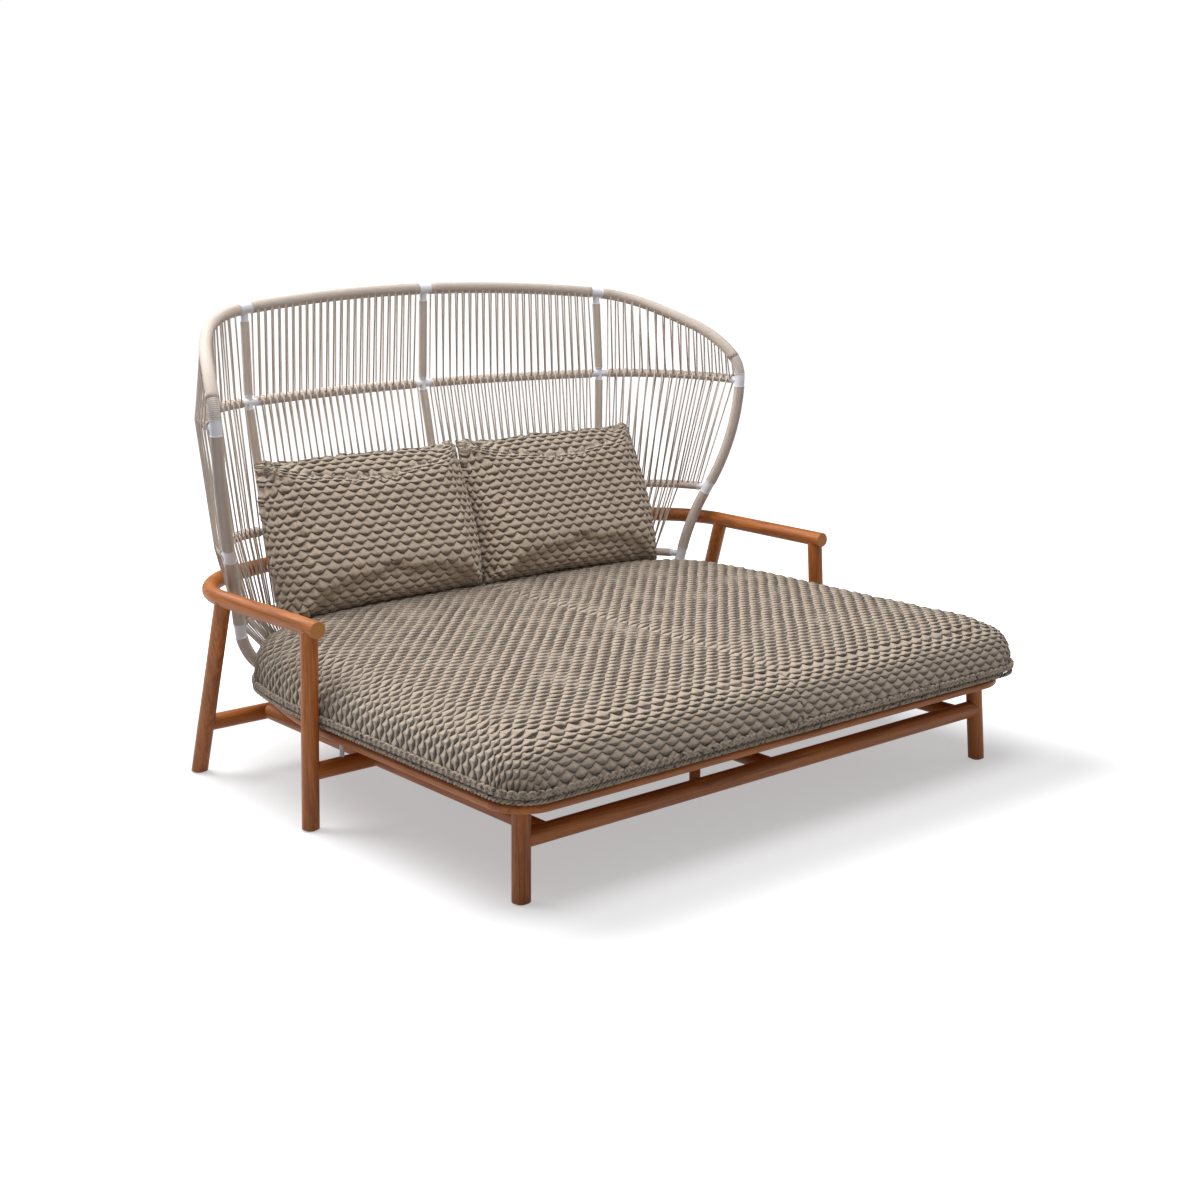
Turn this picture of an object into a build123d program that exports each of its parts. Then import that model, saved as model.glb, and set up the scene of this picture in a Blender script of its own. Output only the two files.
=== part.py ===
from build123d import *
import math
import os

# Teak daybed: a round-legged teak frame, a board ring round the seat, a bent tube back strung
# with cord, and three loose cushions. Millimetres, +Z up, the front faces -Y, the floor is Z = 0.
# Depths are measured back from the front edge of the seat ring.

# Seat ring
ring_half_width = 883.6
ring_depth = 1506.5
ring_top = 250.0
ring_thickness = 25.0
ring_board = 100.0
ring_corner_radius = 104.0
ring_edge_round = 11.0
# Half outline behind the front corner: (share of half width, share of depth)
ring_side_shares = [(1.0, 0.522), (0.937, 0.766), (0.8918, 0.837), (0.869, 0.867)]
ring_corner_shares = (0.588, 0.985)
slat_count = 15
slat_gap = 14.0
slat_end_gap = 1.5
bearer_width = 60.0
bearer_thickness = 20.0
bearer_overlap = 18.0
bearer_depth_shares = [0.2655, 0.5231, 0.7806]

# Teak legs and grid below the ring: feet and heads are shares of the ring's half width and depth
leg_diameter = 45.0
leg_inset = 74.0
front_leg_splay = 12.0
arm_front_foot_shares = (1.06326, 0.52008)
arm_front_head_shares = (1.03667, 0.52871)
arm_rear_foot_shares = (1.05591, 0.92333)
arm_rear_head_shares = (1.04278, 0.81779)
centre_leg_diameter = 30.0
centre_leg_depth_share = 0.24029
glide_height = 4.0
glide_diameter = 30.0
grid_height = 150.0
stretcher_tall = 48.0
stretcher_wide = 42.0
cross_rail_tall = 46.0
cross_rail_wide = 40.0
long_rail_diameter = 40.0
side_rail_share = 0.83522
post_diameter = 12.0
side_post_share = 0.94839
rear_post_share = 0.79221

# Round arm rail: places on its centre line as shares of the ring's half width and depth
rail_diameter = 45.0
rail_height = 521.0
rail_front_shares = (1.03101, 0.50581)
rail_side_end_shares = (1.04233, 0.81713)
rail_bend_shares = (1.02309, 0.87952)
rail_corner_shares = (0.80127, 1.00498)
cope_share = 0.3
rail_shares = [rail_front_shares, rail_side_end_shares, rail_bend_shares, rail_corner_shares]

# Tube back: how far it stands out past the ring on each side and behind
shell_side_reach = 62.0
shell_rear_reach = 90.1
shell_top = 1293.4
tube_diameter = 32.0
rib_diameter = 21.0
cross_tube_diameter = 22.0
tube_wrap = 1.2
rib_wrap = 2.4
collar_length = 40.0
bend_radius = 110.0
joint_gap = 1.4
# Edge tube from the outer rib to the ring: shares of half width, depth and height
rib_head_shares = (0.6818, 0.9671, 0.9753)
edge_curve_shares = [(0.8595, 0.9051, 0.9371), (0.9331, 0.8326, 0.8962), (0.9877, 0.7567, 0.8305)]
edge_mid_shares = (1.0, 0.7354, 0.7619)
edge_lower_shares = (0.9334, 0.7844, 0.4878)
edge_bottom_shares = (0.8732, 0.8246, 0.31235)
edge_foot_shares = (0.846, 0.8293, 0.259)
# Bottom tube: shares of half width and depth
foot_shares = (0.73287, 0.86496)
bottom_bend_shares = (0.57107, 0.90066)
bottom_middle_depth_share = 0.91069
bottom_rib_share = 0.63452
# Rails at the middle rib and at the outer ribs
mid_rail_middle_shares = (0.0, 1.00902, 0.77548)
mid_rail_rib_shares = (0.68634, 0.96017, 0.77238)
lower_rail_middle_shares = (0.0, 0.95641, 0.48709)
lower_rail_rib_shares = (0.65672, 0.94325, 0.48709)
bottom_rail_middle_shares = (0.0, 0.92509, 0.31313)
bottom_rail_rib_shares = (0.64827, 0.91883, 0.31313)
lug_diameter = 12.0
shell_foot_diameter = 14.0
shell_foot_height = 11.0

# Strung cord
cord_width = 5.0
cord_clearance = 0.7
cord_end_clearance = 0.6
bay_strands = 24
wing_strands = 17
wing_long_strands = 13
strand_margin = 24.0
wing_bottom_share = 0.74
strand_corner = 30.0

# Cushions
seat_cushion_side_reach = 16.4
seat_cushion_overhang = 29.0
seat_cushion_corner = 96.0
seat_cushion_rear_inset = 108.5
seat_cushion_height = 165.0
seat_cushion_rear_inset_share = 0.35
seat_cushion_side_shares = [(1.0, 0.60), (0.962, 0.83), (0.86, 0.925), (0.60, 0.99), (0.0, 1.0)]
soft_clearance = 0.4
seam_width = 16.0
seam_depth = 6.0
back_cushion_width_share = 0.7809
back_cushion_height = 452.0
back_cushion_thickness = 190.0
back_cushion_lean = 12.0
back_cushion_gap = 12.0
back_cushion_rear_inset = 130.5
back_cushion_bow_share = 0.045
settling_steps = 6
# Sections of the seat cushion from below: (inset, rise) as shares of its height
seat_section_shares = [(0.15, 0.0), (0.05, 0.07), (0.0, 0.2), (0.0, 0.36), (0.03, 0.55), (0.08, 0.68),
                       (0.16, 0.79), (0.3, 0.87), (0.5, 0.92), (0.9, 0.955), (1.4, 0.98), (2.0, 1.0)]
# Sections of a back cushion from behind: (place, inset) as shares of its thickness
back_section_shares = [(-0.5, 0.62), (-0.43, 0.3), (-0.25, 0.08), (0.0, 0.0), (0.25, 0.08), (0.43, 0.3),
                       (0.5, 0.62)]
overrun = 60.0

tube_radius = tube_diameter / 2
rib_radius = rib_diameter / 2
cross_radius = cross_tube_diameter / 2
leg_radius = leg_diameter / 2
rail_radius = rail_diameter / 2
ring_bottom = ring_top - ring_thickness
bottom_tube_height = ring_top + tube_radius + shell_foot_height
collar = collar_length / 2
shell_half_width = ring_half_width + shell_side_reach
shell_depth = ring_depth + shell_rear_reach
bottom_rib_half_width = bottom_rib_share * shell_half_width
seat_cushion_half_width = ring_half_width + seat_cushion_side_reach
seat_cushion_rear = ring_depth - seat_cushion_rear_inset
back_cushion_width = back_cushion_width_share * ring_half_width
back_cushion_depth = ring_depth - back_cushion_rear_inset

parts = {}


def spot(x, depth, z):
    return Vector(x, depth - mid_depth, z)


def ring_spot(shares, z):
    return spot(shares[0] * ring_half_width, shares[1] * ring_depth, z)


def mirrored(shape):
    return mirror(shape, Plane.YZ)


def keep(name, shape):
    solids = shape.solids()
    parts[name] = solids[0] if len(solids) == 1 else Compound(solids)


def keep_pair(name, right_shape):
    keep(name + "_right", right_shape)
    keep(name + "_left", mirrored(right_shape))


def smooth_chain(points, heading):
    """Arcs through the points, each one tangent to the one before."""
    edges = []
    for start, end in zip(points, points[1:]):
        turn = Vector(heading).get_angle(end - start)
        arc = TangentArc(start, end, tangent=heading) if turn > 0.05 else Line(start, end)
        heading = arc % 1
        edges.append(arc.edge())
    return edges


def bent_chain(points, radius):
    """Straight runs between the points with a round bend at each inner point."""
    edges = []
    start = points[0]
    for before, corner, after in zip(points, points[1:], points[2:]):
        along = (corner - before).normalized()
        onward = (after - corner).normalized()
        reach = radius * math.tan(math.radians(along.get_angle(onward)) / 2)
        bend_start = corner - along * reach
        bend_end = corner + onward * reach
        edges.append(Line(start, bend_start).edge())
        edges.append(TangentArc(bend_start, bend_end, tangent=along).edge())
        start = bend_end
    edges.append(Line(start, points[-1]).edge())
    return edges


def full_width(half_edges):
    """The edges of a right half with those of its mirror image, in order from the left."""
    return [edge.mirror(Plane.YZ) for edge in reversed(half_edges)] + list(half_edges)


def round_bar(edges, radius, bore=0.0):
    """A round bar, or a sleeve where a bore is given, along joined edges."""
    path = Wire(edges)
    profile = Circle(radius) if bore == 0 else Circle(radius) - Circle(bore)
    return sweep(Plane(path @ 0, z_dir=path % 0) * profile, path)


def rod(start, end, radius):
    axis = end - start
    return Plane(start, z_dir=axis) * Cylinder(
        radius, axis.length, align=(Align.CENTER, Align.CENTER, Align.MIN)
    )


def block(x0, x1, depth0, depth1, z0, z1):
    low = spot(x0, depth0, z0)
    return Pos(low) * Box(x1 - x0, depth1 - depth0, z1 - z0, align=(Align.MIN, Align.MIN, Align.MIN))


def between_heights(shape, z0, z1):
    side = ring_depth * 2
    return shape & Pos(0, 0, z0) * Box(side, side, z1 - z0, align=(Align.CENTER, Align.CENTER, Align.MIN))


def crossing(corner, heading):
    """Where an arc that leaves a corner along a heading runs straight across the middle."""
    lean = math.atan2(heading.Y, -heading.X)
    return Vector(0, corner.Y + corner.X * math.tan(lean / 2), corner.Z)


def rear_arc(corner, heading):
    return ThreePointArc(corner, crossing(corner, heading), Vector(-corner.X, corner.Y, corner.Z)).edge()


def rail_reach():
    """Depth of the arm rail's rearmost centre point."""
    points = [Vector(x * ring_half_width, depth * ring_depth, rail_height) for x, depth in rail_shares]
    heading = smooth_chain(points, points[1] - points[0])[-1] % 1
    return crossing(points[-1], heading).Y


def closed_outline(half_edges, middle_edges=()):
    edges = half_edges + [edge.mirror(Plane.YZ) for edge in half_edges] + list(middle_edges)
    return make_face(Wire.combine(edges)[0])


# Seat ring outline
def ring_outline():
    corner_start = spot(ring_half_width - ring_corner_radius, 0, 0)
    corner_end = spot(ring_half_width, ring_corner_radius, 0)
    side = [spot(x * ring_half_width, d * ring_depth, 0) for x, d in ring_side_shares]
    corner = ring_spot(ring_corner_shares, 0)
    front = [
        Line(spot(0, 0, 0), corner_start).edge(),
        TangentArc(corner_start, corner_end, tangent=(1, 0, 0)).edge(),
        Line(corner_end, side[0]).edge(),
    ]
    side_chain = smooth_chain(side + [corner], (0, 1, 0))
    return closed_outline(front + side_chain, [rear_arc(corner, side_chain[-1] % 1)])


def build_ring():
    outer = ring_outline()
    inner = offset(outer, -ring_board)
    slab = Pos(0, 0, ring_bottom) * extrude(outer, ring_thickness)
    rims = slab.edges().group_by(Axis.Z)
    slab = fillet(rims[0] + rims[-1], ring_edge_round)
    ring = slab - Pos(0, 0, ring_bottom) * extrude(inner, ring_thickness)
    wide = ring_half_width
    low, high = ring_bottom, ring_top
    side_end = ring_side_shares[1][1] * ring_depth
    rear_start = ring_corner_shares[0] * ring_half_width
    keep("seat_ring_front", ring & block(-wide, wide, 0, ring_board, low, high))
    keep_pair("seat_ring_side", ring & block(0, wide, ring_board, side_end, low, high))
    corner_board = (ring & block(rear_start, wide, side_end, ring_depth, low, high)).solid()
    rear_board = (ring & block(-rear_start, rear_start, side_end, ring_depth, low, high)).solid()
    keep("seat_ring_rear", Compound([corner_board, rear_board, mirrored(corner_board).solid()]))
    slat_space = Pos(0, 0, ring_bottom) * extrude(offset(inner, -slat_end_gap), ring_thickness)
    inner_half = ring_half_width - ring_board - slat_end_gap
    pitch = (2 * inner_half + slat_gap) / slat_count
    slats = []
    for index in range(slat_count):
        x = -inner_half + index * pitch
        slats.append(block(x, x + pitch - slat_gap, 0, ring_depth, low, high) & slat_space)
    keep("seat_slats", Compound([solid for slat in slats for solid in slat.solids()]))
    bearers = []
    for depth_share in bearer_depth_shares:
        depth = depth_share * ring_depth
        inner_edge = (inner & block(0, wide, depth, depth + overrun, 0, overrun)).bounding_box().max.X
        reach = inner_edge + bearer_overlap - slat_end_gap
        half = bearer_width / 2
        bearers.append(block(-reach, reach, depth - half, depth + half, low - bearer_thickness, low))
    keep("slat_bearers", Compound([bearer.solid() for bearer in bearers]))


# Arm rail
def rail_edges():
    points = [ring_spot(shares, rail_height) for shares in rail_shares]
    side = smooth_chain(points, points[1] - points[0])
    return side, [rear_arc(points[-1], side[-1] % 1)]


def build_arm_rail():
    side, rear = rail_edges()
    side_rail = round_bar(side, rail_radius)
    keep_pair("arm_rail", side_rail)
    keep("arm_rail_rear", round_bar(rear, rail_radius))
    return side_rail


# Legs, grid and posts
def sloped(foot, head, height):
    share = height / head.Z
    return foot + (head - foot) * share


def leaning_leg(foot, head):
    along = (head - foot).normalized() * overrun
    return rod(foot - along, head + along, leg_radius)


def oval_bar(half_start, half_end, depth, tall, wide):
    bar = extrude(Plane(spot(half_start, depth, grid_height), x_dir=(0, 1, 0), z_dir=(1, 0, 0))
                  * Ellipse(wide / 2, tall / 2), half_end - half_start)
    return bar


def build_frame(side_rail_solid):
    inset_x = ring_half_width - leg_inset
    front_head = spot(inset_x, leg_inset, ring_bottom)
    front_foot = spot(inset_x + front_leg_splay, leg_inset - front_leg_splay, 0)
    front_full = leaning_leg(front_foot, front_head)
    keep_pair("front_leg", between_heights(front_full, glide_height, ring_bottom))

    rail_cope = rail_height - rail_radius * cope_share
    feet = [front_foot]
    arm_legs = []
    for name, foot_shares, head_shares in (
        ("arm_front_leg", arm_front_foot_shares, arm_front_head_shares),
        ("arm_rear_leg", arm_rear_foot_shares, arm_rear_head_shares),
    ):
        foot = ring_spot(foot_shares, 0)
        head = ring_spot(head_shares, rail_height - rail_radius)
        full = leaning_leg(foot, head)
        arm_legs.append((full, foot, head))
        feet.append(foot)
        keep_pair(name, between_heights(full, glide_height, rail_cope) - side_rail_solid)

    cross_place = sloped(arm_legs[0][1], arm_legs[0][2], grid_height)
    rear_place = sloped(arm_legs[1][1], arm_legs[1][2], grid_height)
    front_place = sloped(front_foot, front_head, grid_height)
    cross_depth = cross_place.Y + mid_depth
    rear_depth = rear_place.Y + mid_depth
    front_depth = front_place.Y + mid_depth

    stretcher = oval_bar(-front_place.X, front_place.X, front_depth, stretcher_tall, stretcher_wide)
    stretcher = stretcher - front_full - mirrored(front_full)
    rear_rail = oval_bar(-rear_place.X, rear_place.X, rear_depth, cross_rail_tall, cross_rail_wide)
    rear_rail = rear_rail - arm_legs[1][0] - mirrored(arm_legs[1][0])
    keep("front_stretcher", middle_piece(stretcher))
    keep("rear_cross_rail", middle_piece(rear_rail))

    long_radius = long_rail_diameter / 2
    side_rail_place = side_rail_share * ring_half_width
    centre_leg_depth = centre_leg_depth_share * ring_depth
    side_long = rod(spot(side_rail_place, front_depth, grid_height),
                    spot(side_rail_place, rear_depth, grid_height), long_radius)
    centre_long = rod(spot(0, front_depth, grid_height), spot(0, rear_depth, grid_height), long_radius)
    side_long = side_long - stretcher - rear_rail
    centre_long = centre_long - stretcher - rear_rail
    keep_pair("side_rail", side_long)
    keep("centre_rail", centre_long)

    inner_cross = oval_bar(0, side_rail_place, cross_depth, cross_rail_tall, cross_rail_wide)
    outer_cross = oval_bar(side_rail_place, cross_place.X, cross_depth, cross_rail_tall, cross_rail_wide)
    keep_pair("cross_rail_inner", inner_cross - centre_long - side_long)
    keep_pair("cross_rail_outer", outer_cross - side_long - arm_legs[0][0])

    centre_leg = rod(spot(0, centre_leg_depth, glide_height), spot(0, centre_leg_depth, grid_height),
                     centre_leg_diameter / 2)
    keep("centre_leg", centre_leg - centre_long)

    glides = []
    for foot in feet:
        for side in (-1, 1):
            glides.append(rod(Vector(side * foot.X, foot.Y, 0), Vector(side * foot.X, foot.Y, glide_height),
                              glide_diameter / 2).solid())
    centre_foot = spot(0, centre_leg_depth, 0)
    glides.append(rod(centre_foot, centre_foot + Vector(0, 0, glide_height), centre_leg_diameter / 2).solid())
    keep("leg_glides", Compound(glides))

    posts = []
    for share, depth, cross in (
        (side_post_share, cross_depth, outer_cross),
        (rear_post_share, rear_depth, rear_rail),
    ):
        half = share * ring_half_width
        for side in (-1, 1):
            post = rod(spot(side * half, depth, grid_height), spot(side * half, depth, ring_bottom),
                       post_diameter / 2)
            posts.append((post - (cross if side > 0 else mirrored(cross))).solid())
    for depth_share in bearer_depth_shares:
        depth = depth_share * ring_depth
        post = rod(spot(0, depth, grid_height), spot(0, depth, ring_bottom - bearer_thickness),
                   post_diameter / 2)
        posts.append((post - centre_long - inner_cross - mirrored(inner_cross)).solids().sort_by(Axis.Z)[-1])
    keep("spacer_posts", Compound(posts))


def middle_piece(shape):
    return shape.solids().sort_by(SortBy.VOLUME)[-1]


# Tube back
def shell_spot(shares):
    return spot(shares[0] * shell_half_width, shares[1] * shell_depth, shares[2] * shell_top)


def back_paths():
    top = spot(0, shell_depth, shell_top)
    rib_head = shell_spot(rib_head_shares)
    top_half = smooth_chain([top, rib_head], (1, 0, 0))
    curve = [rib_head] + [shell_spot(shares) for shares in edge_curve_shares]
    edge_mid, edge_lower = shell_spot(edge_mid_shares), shell_spot(edge_lower_shares)
    edge_bottom, edge_foot = shell_spot(edge_bottom_shares), shell_spot(edge_foot_shares)
    shoulder = smooth_chain(curve + [edge_mid], top_half[-1] % 1)
    flank = smooth_chain([edge_mid, edge_lower], shoulder[-1] % 1)
    shank = smooth_chain([edge_lower, edge_bottom], flank[-1] % 1)
    foot, bend, middle = [spot(x * shell_half_width, depth * shell_depth, bottom_tube_height)
                          for x, depth in (foot_shares, bottom_bend_shares, (0, bottom_middle_depth_share))]
    toe = smooth_chain([edge_bottom, edge_foot, foot], shank[-1] % 1)
    bottom_points = [middle, bend, foot]
    bottom_half = smooth_chain(bottom_points, (1, 0, 0))
    rails = {}
    rib_points = [rib_head]
    middle_points = [top]
    for name, middle_shares, rib_shares, edge in (
        ("mid", mid_rail_middle_shares, mid_rail_rib_shares, edge_mid),
        ("lower", lower_rail_middle_shares, lower_rail_rib_shares, edge_lower),
        ("bottom", bottom_rail_middle_shares, bottom_rail_rib_shares, edge_bottom),
    ):
        middle_points.append(shell_spot(middle_shares))
        rib_points.append(shell_spot(rib_shares))
        chain = smooth_chain([middle_points[-1], rib_points[-1], edge], (1, 0, 0))
        rails[name] = (chain[:1], chain[1:])
    bottom_wire = Wire(bottom_half)
    rib_foot = bottom_wire @ share_at(bottom_wire, bottom_rib_half_width)
    return {
        "top": top_half,
        "shoulder": shoulder,
        "flank": flank,
        "shank": shank,
        "toe": toe,
        "bottom": bottom_half,
        "rails": rails,
        "rib": rib_points + [rib_foot],
        "middle": middle_points + [bottom_points[0]],
    }


def share_at(wire, value, measure=lambda point: point.X):
    """The share of a wire's length where a steadily growing measure reaches a value."""
    low, high = 0.0, 1.0
    while high - low > 1e-5:
        middle = (low + high) / 2
        low, high = (middle, high) if measure(wire @ middle) < value else (low, middle)
    return (low + high) / 2


def build_back(paths):
    top_tube = round_bar(full_width(paths["top"]), tube_radius)
    edge_tube = round_bar(paths["shoulder"] + paths["flank"] + paths["shank"] + paths["toe"], tube_radius)
    bottom_half = round_bar(trimmed(paths["bottom"], 0, joint_gap), tube_radius) - edge_tube
    bottom_tube = bottom_half + mirrored(bottom_half)
    keep("back_top_tube", top_tube)
    keep_pair("back_edge_tube", edge_tube)
    keep("back_bottom_tube", bottom_tube)

    outer_rib = round_bar(bent_chain(paths["rib"], bend_radius), rib_radius)
    outer_rib = middle_piece(outer_rib - top_tube - edge_tube - bottom_tube)
    middle_rib = round_bar(bent_chain(paths["middle"], bend_radius), rib_radius)
    middle_rib = middle_piece(middle_rib - top_tube - bottom_tube)
    keep_pair("back_rib", outer_rib)
    keep("back_rib_middle", middle_rib)

    for name, (bay, wing) in paths["rails"].items():
        bay_tube = round_bar(bay, cross_radius) - middle_rib - outer_rib
        wing_tube = round_bar(wing, cross_radius) - outer_rib - edge_tube
        bay_tube = middle_piece(bay_tube)
        keep("back_" + name + "_rail_bays", Compound([bay_tube, mirrored(bay_tube).solid()]))
        keep_pair("back_" + name + "_rail_wing", middle_piece(wing_tube))
    toe = Wire(paths["toe"])
    toe_place = toe @ (1 - collar / (2 * toe.length))
    feet = []
    for place, tube in (
        (paths["bottom"][0] @ 0, bottom_tube),
        (paths["rib"][-1], bottom_tube),
        (toe_place, edge_tube),
    ):
        foot = rod(Vector(place.X, place.Y, ring_top), place, shell_foot_diameter / 2)
        foot = (foot - tube).solids().sort_by(Axis.Z)[0]
        feet += [foot] if place.X < tube_radius else [foot, mirrored(foot).solid()]
    keep("back_feet", Compound(feet))
    return outer_rib


def build_lugs(outer_rib, rib_points, arm_rail_rear):
    """A short lug holds each outer rib to the arm rail."""
    above, below = rib_points[2], rib_points[3]
    share = (above.Z - rail_height) / (above.Z - below.Z)
    start = above + (below - above) * share
    end = Vector(start.X, start.Y + rail_diameter, start.Z)
    lug = middle_piece(rod(start, end, lug_diameter / 2) - outer_rib - arm_rail_rear)
    keep("back_lugs", Compound([lug, mirrored(lug).solid()]))
    return lug


# Cord wound round the tubes
def trimmed(edges, start_gap, end_gap):
    wire = Wire(edges)
    return wire.trim(start_gap / wire.length, 1 - end_gap / wire.length).edges()


def wound(edges, start_gap, end_gap, tube, wrap):
    return round_bar(trimmed(edges, start_gap, end_gap), tube + wrap, bore=tube)


def straight_runs(points, start_gap, end_gap):
    gaps = [start_gap] + [collar] * (len(points) - 2) + [end_gap]
    runs = []
    for start, end, gap_start, gap_end in zip(points, points[1:], gaps, gaps[1:]):
        along = (end - start).normalized()
        runs.append(Line(start + along * gap_start, end - along * gap_end).edge())
    return runs


def build_wraps(paths, lug):
    butt = tube_radius + collar
    top_run = wound(paths["top"], collar, collar, tube_radius, tube_wrap).solid()
    keep("wrap_top", Compound([top_run, mirrored(top_run).solid()]))
    bottom = Wire(paths["bottom"])
    rib_reach = bottom.length * share_at(bottom, bottom_rib_half_width)
    bottom_runs = [
        wound(paths["bottom"], collar, bottom.length - rib_reach + collar, tube_radius, tube_wrap).solid(),
        wound(paths["bottom"], rib_reach + collar, collar, tube_radius, tube_wrap).solid(),
    ]
    keep("wrap_bottom", Compound(bottom_runs + [mirrored(run).solid() for run in bottom_runs]))
    edge_runs = [wound(paths[key], collar, collar, tube_radius, tube_wrap).solid()
                 for key in ("shoulder", "flank", "shank", "toe")]
    keep_pair("wrap_edge", Compound(edge_runs))
    ribs = []
    for points in (paths["rib"], paths["middle"]):
        for run in straight_runs(points, butt, butt):
            ribs.append((round_bar([run], rib_radius + rib_wrap, bore=rib_radius) - lug).solid())
    outer_count = len(paths["rib"]) - 1
    ribs += [mirrored(rib).solid() for rib in ribs[:outer_count]]
    keep("wrap_ribs", Compound(ribs))
    rib_butt = rib_radius + collar
    for name, (bay, wing) in paths["rails"].items():
        half = [wound(bay, rib_butt, rib_butt, cross_radius, rib_wrap).solid(),
                wound(wing, rib_butt, butt, cross_radius, rib_wrap).solid()]
        keep("wrap_" + name + "_rail", Compound(half + [mirrored(run).solid() for run in half]))


# Cord strung over the rails
class Station:
    """A place where a strand passes a tube: its centre, the tube's direction and its wound radius."""

    def __init__(self, wire, share, radius):
        self.centre = wire @ share
        self.along = wire % share
        self.radius = radius + cord_width / 2 + cord_clearance


def cord_along(points, side):
    """A cord of square section along straight runs, mitred at every corner."""
    runs = [(end - start).normalized() for start, end in zip(points, points[1:])]
    out = runs[0].cross(side).normalized()
    side = out.cross(runs[0])
    half = cord_width / 2
    offsets = [side * half + out * half, side * half - out * half,
               side * -half - out * half, side * -half + out * half]
    rings = [[points[0] + offset for offset in offsets]]
    for index, run in enumerate(runs):
        onward = runs[min(index + 1, len(runs) - 1)]
        mitre = (run + onward).normalized()
        offsets = [offset - run * (offset.dot(mitre) / run.dot(mitre)) for offset in offsets]
        rings.append([points[index + 1] + offset for offset in offsets])
        offsets = [offset - onward * offset.dot(onward) for offset in offsets]
    faces = [rings[0], rings[-1]]
    for ring, next_ring in zip(rings, rings[1:]):
        for corner in range(4):
            after = (corner + 1) % 4
            faces.append([ring[corner], ring[after], next_ring[after], next_ring[corner]])
    return Solid(Shell([Face(Wire.make_polygon(face, close=True)) for face in faces]))


def around(station, over, front, degrees, stretch):
    """A point beside a tube, turned from its front over its top."""
    angle = math.radians(degrees)
    outward = front * math.cos(angle) + over * math.sin(angle)
    return station.centre + outward * (station.radius * stretch)


def strand(stations):
    """A strand from under the first tube, up in front, over the last tube and down behind."""
    centres = [station.centre for station in stations]
    places = []
    for index, station in enumerate(stations):
        before = centres[max(index - 1, 0)]
        after = centres[min(index + 1, len(stations) - 1)]
        up = (after - before).normalized()
        inner = 0 < index < len(stations) - 1
        bend = (centres[index] - before).get_angle(after - centres[index]) if inner else 0.0
        front = station.along.cross(up).normalized()
        over = front.cross(station.along).normalized()
        places.append((station, over, front, 1 / math.cos(math.radians(bend) / 2)))
    corner = 1 / math.cos(math.radians(strand_corner))
    low, high = places[0][:3], places[-1][:3]
    points = [around(*low, -2 * strand_corner, 1.0), around(*low, -strand_corner, corner)]
    points += [around(station, over, front, 0.0, stretch)
               for station, over, front, stretch in places[1:-1]]
    points += [around(*high, degrees, corner) for degrees in (strand_corner, 90.0, 180.0 - strand_corner)]
    points += [around(station, over, front, 180.0, stretch)
               for station, over, front, stretch in reversed(places[1:-1])]
    points += [around(*low, 180.0 + strand_corner, corner), around(*low, 180.0 + 2 * strand_corner, 1.0)]
    return cord_along(points, stations[0].along)


def evenly(count, index):
    return (index + 0.5) / count


def inner_share(wire, share, start_margin, end_margin):
    length = wire.length
    return (start_margin + share * (length - start_margin - end_margin)) / length


def build_cords(paths):
    rails = paths["rails"]
    tube_wound = tube_radius + tube_wrap + cord_end_clearance
    cross_wound = cross_radius + rib_wrap
    top, bottom = Wire(paths["top"]), Wire(paths["bottom"])
    shoulder = Wire(paths["shoulder"])
    bays = {name: Wire(pair[0]) for name, pair in rails.items()}
    wings = {name: Wire(pair[1]) for name, pair in rails.items()}
    rib_foot = share_at(bottom, bottom_rib_half_width)

    bay = []
    for index in range(bay_strands):
        share = evenly(bay_strands, index)
        low = inner_share(bottom, share, strand_margin, bottom.length * (1 - rib_foot) + strand_margin)
        stations = [Station(bottom, low, tube_wound)]
        for name in ("bottom", "lower", "mid"):
            place = inner_share(bays[name], share, strand_margin, strand_margin)
            stations.append(Station(bays[name], place, cross_wound))
        stations.append(Station(top, inner_share(top, share, strand_margin, strand_margin), tube_wound))
        bay.append(strand(stations))
    keep_pair("cord_bay", Compound(bay))

    def diagonal(point):
        return point.X - point.Y

    wing = []
    for index in range(wing_strands):
        share = evenly(wing_strands, index)
        stations = []
        if index < wing_long_strands:
            bottom_share = wing_bottom_share * index / wing_long_strands
            low = rib_foot + (1 - rib_foot) * inner_share(wings["bottom"], bottom_share, strand_margin, 0)
            stations.append(Station(bottom, low, tube_wound))
            place = inner_share(wings["bottom"], bottom_share, strand_margin, strand_margin)
            stations.append(Station(wings["bottom"], place, cross_wound))
        for name in ("lower", "mid"):
            place = inner_share(wings[name], share, strand_margin, strand_margin)
            stations.append(Station(wings[name], place, cross_wound))
        head = share_at(shoulder, diagonal(stations[-1].centre), diagonal)
        stations.append(Station(shoulder, head, tube_wound))
        wing.append(strand(stations))
    keep_pair("cord_wing", Compound(wing))


# Cushions
def seat_section(inset, height):
    half = seat_cushion_half_width - inset
    front = inset - seat_cushion_overhang
    long = seat_cushion_rear - inset * seat_cushion_rear_inset_share - front
    corner = seat_cushion_corner * half / seat_cushion_half_width
    corner_start = spot(half - corner, front, 0)
    corner_end = spot(half, front + corner, 0)
    points = [spot(x * half, front + d * long, 0) for x, d in seat_cushion_side_shares]
    edges = [
        Line(spot(0, front, 0), corner_start).edge(),
        TangentArc(corner_start, corner_end, tangent=(1, 0, 0)).edge(),
        Line(corner_end, points[0]).edge(),
    ]
    edges += smooth_chain(points, (0, 1, 0))
    return Pos(0, 0, height) * closed_outline(edges)


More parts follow.
